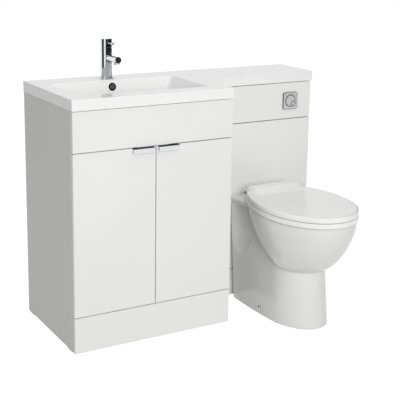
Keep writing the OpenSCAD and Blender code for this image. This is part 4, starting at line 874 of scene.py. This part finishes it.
# Inside, the rim rolls over into the bowl, which narrows to the well, and the foot is hollow.
inside = []
for t in np.radians((0, 30, 60, 82)):
    drop, side = lip * (1 - math.cos(t)), lip * (1 - math.sin(t))
    inside.append(inner_loop((125 + side, -332 - side, -160, 130 + side), rim_z - drop))
for f in (0.94, 0.87, 0.79, 0.7, 0.6, 0.5, 0.4, 0.3, 0.21, 0.13, 0.07, 0.03, 0.0):
    w = math.sqrt(1 - (1 - f) ** 2)
    shape = (34 + 91 * w, -332 + 90 * (1 - w), -160 + 40 * (1 - w), 130 - 70 * (1 - w))
    inside.append(inner_loop(shape, 215 + 183 * f))
for drop, width in ((8, 32), (22, 30), (40, 28), (52, 20), (56, 8)):
    inside.append(inner_loop((width, -120 - width * 2.6, -115, width * 1.7), 215.0 - drop))
cavity = [pan_loop(0.0, 14.0), pan_loop(100.0, 20.0), pan_loop(118.0, 34.0)]
bm = bmesh.new()
outer_loops = [add_loop(bm, loop) for loop in outer]
inner_loops = [add_loop(bm, loop) for loop in inside]
cavity_loops = [add_loop(bm, loop) for loop in cavity]
skin_through(bm, outer_loops)
skin(bm, outer_loops[-1], inner_loops[0])
skin_through(bm, inner_loops)
skin(bm, cavity_loops[0], outer_loops[0])
skin_through(bm, cavity_loops[::-1])
for loop in (inner_loops[-1], cavity_loops[-1]):
    middle = bm.verts.new(sum((v.co for v in loop), Vector()) / len(loop))
    for k in range(len(loop)):
        bm.faces.new((loop[k], loop[(k + 1) % len(loop)], middle))
bmesh.ops.remove_doubles(bm, verts=bm.verts, dist=2e-5)
bmesh.ops.recalc_face_normals(bm, faces=bm.faces)

glazed_china = new_finish("glazed_vitreous_china", (0.79, 0.79, 0.775), 0.1)
vary(glazed_china, "Base Color", (0.78, 0.78, 0.765), (0.80, 0.80, 0.785), 6.0)
vary(glazed_china, "Roughness", 0.07, 0.14, 22.0)
relief(glazed_china, 0.00006, 45.0, 1.0)
pan = place_piece(bm, "vitreous_china_pan", [glazed_china], "unit", ["pan"],
                  smooth=60, weighted=False)
outlet_z, outlet_radius, spigot_radius = 180, 43.0, 51.0
inlet_z, inlet_radius = 335, 28.0
post_side, post_y, post_radius = 77.5, 92, 7.0
side_screw_y, side_screw_z, side_screw_radius = -49, 29, 4.0
spigot = bmesh.new()
rod(spigot, 1, (pan_x, 0, outlet_z), 150, 230, spigot_radius, 64)
cut_away(pan, spigot, "UNION")
drill = bmesh.new()
rod(drill, 1, (pan_x, 0, outlet_z), 120, 232, outlet_radius, 64)
rod(drill, 1, (pan_x, 0, inlet_z), 128, 164, inlet_radius, 48)
for side in (-1, 1):
    rod(drill, 2, (pan_x + side * post_side, post_y, 0), 353, 406, post_radius, 32)
    rod(drill, 0, (0, side_screw_y, side_screw_z), pan_x + side * 68, pan_x + side * 128,
        side_screw_radius, 32)
cut_away(pan, drill)

# ---------------------------------------------------------------- pan fixings
# Galvanised angle brackets inside the foot, with a chromed screw through each side of it. The
# screws' caps are wide, and the flat middle of each is painted black as painted shade for a recess.

finish_node("pan_brackets", "galvanised_angle_brackets", zinc, "unit", 0.0008)
middle_x, screw_y, screw_z = pan_x / 1000, side_screw_y / 1000, side_screw_z / 1000
cap_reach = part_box("pan_screws")[1].x - middle_x
cap_depth, cap_growth, painted_shade_radius = 0.004, 1.35, 0.0056
bm = closed_copy("pan_screws")
for vert in bm.verts:
    away = math.hypot(vert.co.y - screw_y, vert.co.z - screw_z)
    if away > 0.0058 and abs(vert.co.x - middle_x) > cap_reach - cap_depth:
        vert.co.y = screw_y + (vert.co.y - screw_y) * cap_growth
        vert.co.z = screw_z + (vert.co.z - screw_z) * cap_growth
heads = []
for face in bm.faces:
    if abs(abs(face.calc_center_median().x - middle_x) - cap_reach) < face_slack:
        heads.append(face)
bmesh.ops.inset_region(bm, faces=heads, thickness=0.0024, use_even_offset=True)
# The flat middle of each cap gets the black finish: painted shade where a recess would be.
for face in bm.faces:
    middle = face.calc_center_median()
    away = math.hypot(middle.y - screw_y, middle.z - screw_z)
    in_cap = abs(middle.x - middle_x) > cap_reach - cap_depth
    face.material_index = int(in_cap and away < painted_shade_radius)
place_piece(bm, "chromed_side_screws", [chrome, black_nylon_and_painted_shade], "unit", ["pan_screws"])

# ---------------------------------------------------------------- seat and lid
# Thermoset seat ring and lid on two chromed posts. The lid is thin in front and rises to a
# raised bridge at the rear, and both are pressed in one glossy white skin with round edges.

seat_white = new_finish("thermoset_seat_white", (0.89, 0.89, 0.885), 0.18)
vary(seat_white, "Base Color", (0.88, 0.88, 0.875), (0.9, 0.9, 0.895), 5.0)
vary(seat_white, "Roughness", 0.12, 0.2, 40.0)

egg_count = 128
egg_y = -160.0


def egg(half_width, front, rear, z):
    """An egg-shaped loop round the seat's middle, rounder in front than at the rear."""
    loop = []
    for k in range(egg_count):
        turn = 2 * math.pi * k / egg_count
        s = math.sin(turn)
        length = front if s < 0 else rear
        loop.append((pan_x + half_width * math.cos(turn), egg_y + length * s, z))
    return loop


def seat_outline(inset, z):
    """The outline of seat and lid, inset from its edge and cut straight at the rear."""
    limit, corner = 75.0 - inset, 6.0
    rounded = []
    for x, y, z in egg(168.0 - inset, 220.0 - inset, 290.0 - inset, z):
        over = max(y - (limit - corner), 0.0)
        rounded.append((x, min(y, limit - corner) + corner * math.tanh(over / corner), z))
    return rounded


seat_pin = (post_y, 429)


def ears(bm, near, far, arm_low, arm_high):
    """A round ear on the pin and an arm to it, on each side."""
    arm_y, arm_depth = 0.073, 0.034
    for side in (-1, 1):
        x0, x1 = sorted((pan_x + side * near, pan_x + side * far))
        rod(bm, 0, (0, *seat_pin), x0, x1, 8.9, 48)
        arm = bmesh.ops.create_cube(bm, size=1.0)["verts"]
        size = (0.001 * (x1 - x0), arm_depth, 0.001 * (arm_high - arm_low))
        bmesh.ops.scale(bm, vec=size, verts=arm)
        centre = (0.0005 * (x0 + x1), arm_y, 0.0005 * (arm_low + arm_high))
        bmesh.ops.translate(bm, vec=centre, verts=arm)


bm = bmesh.new()
section = [(1.6, 408.0), (0.4, 408.6), (0.0, 410.0), (0.0, 423.4), (0.7, 425.0), (2.2, 425.9), (6.0, 426.0)]
rings = [add_loop(bm, seat_outline(i, z)) for i, z in section]
hole = [(16.0, 425.4), (8.0, 423.6), (3.0, 420.6), (0.5, 416.5), (0.0, 412.5), (1.5, 409.2), (5.0, 408.0)]
rings += [add_loop(bm, egg(106.0 + grow, 158.0 + grow, 130.0 + grow, z)) for grow, z in hole]
skin_through(bm, rings)
skin(bm, rings[-1], rings[0])
bmesh.ops.recalc_face_normals(bm, faces=bm.faces)
ears(bm, 71.0, 60.0, 414.0, 425.9)
place_piece(bm, "seat_ring_thermoset", [seat_white], "seat", ["seat_ring"], smooth=40)


def lid_height(x, y, inset):
    """Top of the lid: nearly flat, with the bridge at the rear and a round edge."""
    lid_top, bridge_rise, dome_rise, edge_radius = 446.3, 17.0, 1.6, 7.0
    bridge_y, bridge_run, bridge_half, bridge_fade = -28.0, 56.0, 116.0, 26.0
    rise = min(max((y - bridge_y) / bridge_run, 0.0), 1.0)
    rise = rise * rise * (3 - 2 * rise)
    across = min(max((bridge_half - abs(x - pan_x)) / bridge_fade, 0.0), 1.0)
    rise *= across * across * (3 - 2 * across)
    r = edge_radius + 10.0 * rise
    edge = r - math.sqrt(max(r * r - max(r - inset, 0.0) ** 2, 0.0))
    dome = dome_rise * min(inset / 90.0, 1.0) ** 0.7
    return lid_top + dome + bridge_rise * rise - edge


bm = bmesh.new()
under = [(24.0, 433.0), (17.0, 432.6), (14.0, 430.0), (12.0, 428.0), (2.4, 428.0), (0.8, 428.6)]
least = 0.35
rings = [add_loop(bm, seat_outline(i, z)) for i, z in under + [(least, 430.0)]]
for inset in [0.0, 0.5, 1.4, 2.8, 4.6, 7.0, *np.arange(10.0, 131.0, 4.0)]:
    outline = seat_outline(inset + least, 0.0)
    rings.append(add_loop(bm, [(x, y, lid_height(x, y, inset + least)) for x, y, _ in outline]))
skin_through(bm, rings)
last = rings[-1]
centre = sum((v.co for v in last), Vector()) / len(last)
deep_inset = 100.0
for share in (0.75, 0.5, 0.25):
    loop = []
    for v in last:
        p = centre + (v.co - centre) * share
        x, y = 1000 * p.x, 1000 * p.y
        loop.append((x, y, lid_height(x, y, deep_inset)))
    rings.append(add_loop(bm, loop))
skin_through(bm, rings[-4:])
top_z = lid_height(1000 * centre.x, 1000 * centre.y, deep_inset)
tip = bm.verts.new((centre.x, centre.y, 0.001 * top_z))
base = bm.verts.new((centre.x, centre.y, 0.433))
for k in range(egg_count):
    bm.faces.new((rings[-1][k], rings[-1][(k + 1) % egg_count], tip))
    bm.faces.new((rings[0][(k + 1) % egg_count], rings[0][k], base))
bmesh.ops.recalc_face_normals(bm, faces=bm.faces)
ears(bm, 84.0, 95.0, 428.2, 437.0)
place_piece(bm, "seat_lid_thermoset", [seat_white], "lid", ["seat_lid"], smooth=40)

finish_node("seat_posts", "chromed_hinge_posts", satin_chrome, "unit", 0.0008)
soft_buffer = new_finish("soft_buffer_plastic", (0.7, 0.7, 0.69), 0.55)
vary(soft_buffer, "Roughness", 0.45, 0.65, 150.0)
finish_node("seat_buffers", "seat_ring_buffers", soft_buffer, "seat", 0.0008)

# ---------------------------------------------------------------- floor, light and camera
# A pale studio floor and a white surround. Large soft lamps hang in front to the left and
# overhead, and two black screens that only glossy rays see give the chrome its dark bands.


def background_rays(tree):
    """1 where a camera, glossy or transmission ray looks, and 0 for the light on the pieces."""
    paths = tree.nodes.new("ShaderNodeLightPath")
    seen = math_node(tree, "MAXIMUM", paths.outputs["Is Camera Ray"], paths.outputs["Is Glossy Ray"])
    return math_node(tree, "MAXIMUM", seen, paths.outputs["Is Transmission Ray"])


floor_mesh = bpy.data.meshes.new("studio_floor")
floor_mesh.from_pydata([(-9, -9, 0), (9, -9, 0), (9, 9, 0), (-9, 9, 0)], [], [(0, 1, 2, 3)])
floor = new_object("studio_floor", floor_mesh)
floor_paint = new_finish("floor_paint", (0.7, 0.7, 0.7), 0.9)
tree = floor_paint.node_tree
share = scaled(tree, background_rays(tree), 0.78)
glow = add_node(tree, "ShaderNodeEmission", {"Strength": 1.25})
paint = tree.nodes["Principled BSDF"].outputs["BSDF"]
mix = add_node(tree, "ShaderNodeMixShader", {"Fac": share, 1: paint, 2: glow})
tree.links.new(mix, tree.nodes["Material Output"].inputs["Surface"])
floor_mesh.materials.append(floor_paint)
floor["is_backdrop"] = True

world = bpy.data.worlds.new("white_surround")
bpy.context.scene.world = world
world.use_nodes = True
tree = world.node_tree
surround = tree.nodes["Background"]
surround.inputs["Color"].default_value = (1, 1, 1, 1)
level = add_node(tree, "ShaderNodeMapRange", {
    "Value": background_rays(tree), "To Min": 0.33, "To Max": 1.0})
tree.links.new(level, surround.inputs["Strength"])


def aim(thing, place, target):
    thing.location = place
    thing.rotation_euler = (Vector(target) - Vector(place)).to_track_quat("-Z", "Y").to_euler()


for name, place, target, size, power in (
    ("front_lamp", (-1.4, -5.2, 2.4), (0.0, 0.1, 0.5), 2.6, 176.0),
    ("top_lamp", (0.1, -0.3, 3.6), (0.0, 0.1, 0.8), 2.4, 25.0),
):
    lamp = bpy.data.lights.new(name, "AREA")
    lamp.shape = "SQUARE"
    lamp.size = size
    lamp.energy = power
    holder = new_object(name, lamp)
    holder.visible_glossy = False
    aim(holder, place, target)

black_card = new_finish("black_card", (0.012, 0.012, 0.014), 0.9)
tap_point = Vector((-0.256, 0.326, 0.0))
toward_camera = math.atan2(-3.15, -1.43)
steps = 20
for name, first_turn, last_turn, reach, low_edge, high_edge, roof in (
    ("screen_right", -8, 138, 2.2, 0.62, 2.4, True),
    ("screen_left", -84, -40, 2.7, 0.35, 2.4, False),
):
    step = (last_turn - first_turn) / steps
    arc = [toward_camera + math.radians(first_turn + step * k) for k in range(steps + 1)]
    rim = [tap_point + reach * Vector((math.cos(a), math.sin(a), 0)) for a in arc]
    verts = [(v.x, v.y, z) for z in (low_edge, high_edge) for v in rim]
    faces = [(k, k + 1, steps + 2 + k, steps + 1 + k) for k in range(steps)]
    if roof:
        verts.append((tap_point.x + 0.3, tap_point.y - 0.2, high_edge))
        faces += [(steps + 1 + k, steps + 2 + k, 2 * steps + 2) for k in range(steps)]
    screen_mesh = bpy.data.meshes.new(name)
    screen_mesh.from_pydata(verts, [], faces)
    screen_mesh.materials.append(black_card)
    screen = new_object(name, screen_mesh)
    for ray in ("camera", "diffuse", "shadow", "transmission"):
        setattr(screen, f"visible_{ray}", False)
    screen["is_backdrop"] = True

# The photo's view, found by fitting the unit's straight edges to the photo.
yaw, pitch, turn = math.radians(30.213), math.radians(12.233), math.radians(0.887)
ahead = Vector((math.sin(yaw) * math.cos(pitch), math.cos(yaw) * math.cos(pitch), -math.sin(pitch)))
level_right = Vector((math.cos(yaw), -math.sin(yaw), 0))
level_up = level_right.cross(ahead)
right = level_right * math.cos(turn) + level_up * math.sin(turn)
up = -level_right * math.sin(turn) + level_up * math.cos(turn)
lens = bpy.data.cameras.new("photo_camera")
focal_pixels, photo_pixels = 956.54, 400
lens.sensor_width = 36
lens.lens = focal_pixels * 36 / photo_pixels
lens.shift_y = -0.15
lens.clip_end = 60
camera = new_object("photo_camera", lens)
place = Matrix((right, up, -ahead)).transposed().to_4x4()
place.translation = (-1.6907, -2.8218, 1.3823)
camera.matrix_world = place
bpy.context.scene.camera = camera
bpy.context.scene.view_settings.view_transform = "Standard"

low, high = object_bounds()
